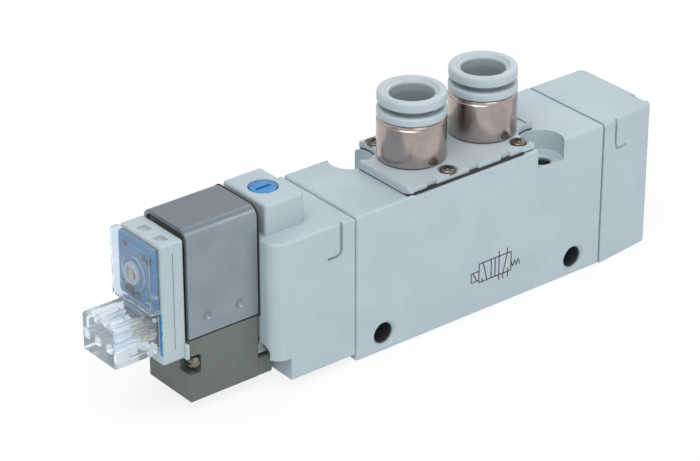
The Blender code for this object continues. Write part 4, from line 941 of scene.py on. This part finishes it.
def makeInternals():
    coil = (pilotSet["coil"], 0, 0)
    low, high = span("fixed_core", "Z")
    line = [(0, low), (1.6, low), (1.85, low + 0.25), (1.85, 26.95), (2.7, 26.95), (2.7, high - 0.1),
            (2.6, high), (0, high)]
    makePiece("fixedCore", turned(line, coil, "Z", 48), "steel", "fixed_core")
    low, high = span("armature", "Z")
    line = [(0, low + 0.5), (1.0, low + 0.5), (1.0, low), (2.3, low), (2.35, low + 0.6), (1.75, low + 0.6),
            (1.75, high - 0.2)]
    makePiece("armatureCore", turned([*line, (1.55, high), (0, high)], coil, "Z", 48), "steel", "armature",
              body="armature_set")
    low, high = span("armature_poppet", "Z")
    makePiece("armaturePoppet", turned(rod(0.85, low, high, 0.06), coil, "Z", 40), "black_rubber",
              "armature_poppet", body="armature_set")
    low, high = span("pilot_seat", "Z")
    line = [(0.4, low), (2.35, low), (2.45, low + 0.1), (2.45, high - 0.55), (2.35, high - 0.45), (0.8, high - 0.45)]
    makePiece("pilotSeat", turned([*line, (0.6, high), (0.4, high)], coil, "Z", 48), "brass", "pilot_seat")
    for name in ("adapter_gasket", "end_cover_gasket"):
        low, high = span(name, "X")
        makePiece(name + "Ring", turned(ring(5.85, 6.85, low, high, 0.2), (0, 0, 11.8), "X", 64),
                  "black_rubber", name)
    low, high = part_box("pilot_gasket")
    shape = block((low - start) / mm, (high - start) / mm, 0.4, "X", 4)
    hole = turned(rod(0.8, -18, -12), (0, 0, 7.5), "X", 32)
    makePiece("pilotGasketPad", shape, "black_rubber", "pilot_gasket", (), [hole])


makeBody(bodySet)
makeAdapter(adapterSet)
makeEndCover(endSet)
makePortPlate(plateSet)
print("body and covers made")
makeScrews()
for name, x in fittingX.items():
    makeFitting(name, x, fittingSet)
print("fittings and screws made")
makeSpoolSet()
for name, settings in springSet.items():
    makeSpring(name, settings)
makeOverride()
makeInternals()
print("moving pieces made")
makePilot(pilotSet)
makeConnector(plugSet)
makeSymbol(symbolSet)
print("pilot valve and connector made")


# Floor, light and camera

studioSet = {"floor": (0.86, 0.88, 0.9), "shadow": 0.16, "world": 0.6, "key": 1.0, "fill": 0.35, "rim": 0.3,
             "edge": 0.22,
             "eye": (-222.6, -285.14, 210.7), "aim": (5.54, 0, 15.92), "lens": 148.93}


def whiteToCamera(nodes, links, shadow):
    # share of white: camera, mirror and clear rays see a white floor that still keeps some shadow
    rays = nodes.new("ShaderNodeLightPath")
    seen = rays.outputs["Is Camera Ray"]
    for other in ("Is Glossy Ray", "Is Transmission Ray"):
        both = nodes.new("ShaderNodeMath")
        both.operation = "MAXIMUM"
        links.new(seen, both.inputs[0])
        links.new(rays.outputs[other], both.inputs[1])
        seen = both.outputs[0]
    share = nodes.new("ShaderNodeMath")
    share.operation = "MULTIPLY"
    share.inputs[1].default_value = 1 - shadow
    links.new(seen, share.inputs[0])
    return share.outputs[0]


def makeStudio(s):
    shape = bmesh.new()
    bmesh.ops.create_grid(shape, x_segments=2, y_segments=2, size=3000)
    floor = asObject("studioFloor", shape)
    floor.location.z = -0.00002
    material = bpy.data.materials.new("studioFloor")
    material.use_nodes = True
    nodes, links = material.node_tree.nodes, material.node_tree.links
    shader = nodes["Principled BSDF"]
    shader.inputs["Base Color"].default_value = (*s["floor"], 1)
    shader.inputs["Roughness"].default_value = 0.9
    glow = nodes.new("ShaderNodeEmission")
    mixed = nodes.new("ShaderNodeMixShader")
    links.new(whiteToCamera(nodes, links, s["shadow"]), mixed.inputs[0])
    links.new(shader.outputs[0], mixed.inputs[1])
    links.new(glow.outputs[0], mixed.inputs[2])
    links.new(mixed.outputs[0], nodes["Material Output"].inputs["Surface"])
    floor.data.materials.append(material)

    world = bpy.data.worlds.new("studio")
    bpy.context.scene.world = world
    world.use_nodes = True
    nodes, links = world.node_tree.nodes, world.node_tree.links
    plain = nodes["Background"]
    plain.inputs[0].default_value = (0.96, 0.98, 1.0, 1)
    plain.inputs[1].default_value = s["world"]
    white = nodes.new("ShaderNodeBackground")
    white.inputs[1].default_value = 1.0
    mixed = nodes.new("ShaderNodeMixShader")
    links.new(whiteToCamera(nodes, links, 0.0), mixed.inputs[0])
    links.new(plain.outputs[0], mixed.inputs[1])
    links.new(white.outputs[0], mixed.inputs[2])
    links.new(mixed.outputs[0], nodes["World Output"].inputs["Surface"])

    for name, place, size, power in (("key", (-160, -120, 420), 260, s["key"]),
                                     ("fill", (-60, -420, 160), 300, s["fill"]),
                                     ("rim", (300, 160, 300), 220, s["rim"]),
                                     ("edge", (260, -240, 320), 90, s["edge"])):
        lamp = bpy.data.lights.new(name, "AREA")
        lamp.size = size * mm
        lamp.energy = power
        light = bpy.data.objects.new(name, lamp)
        bpy.context.scene.collection.objects.link(light)
        light.location = spot(*place)
        light.rotation_euler = (spot(10, 0, 12) - light.location).to_track_quat("-Z", "Y").to_euler()

    lens = bpy.data.cameras.new("camera")
    lens.sensor_width = 36
    lens.lens = s["lens"]
    lens.clip_start = 0.01
    camera = bpy.data.objects.new("camera", lens)
    bpy.context.scene.collection.objects.link(camera)
    camera.location = spot(*s["eye"])
    camera.rotation_euler = (spot(*s["aim"]) - camera.location).to_track_quat("-Z", "Y").to_euler()
    bpy.context.scene.camera = camera
    bpy.context.scene.view_settings.view_transform = "Standard"


makeStudio(studioSet)
print("studio made")
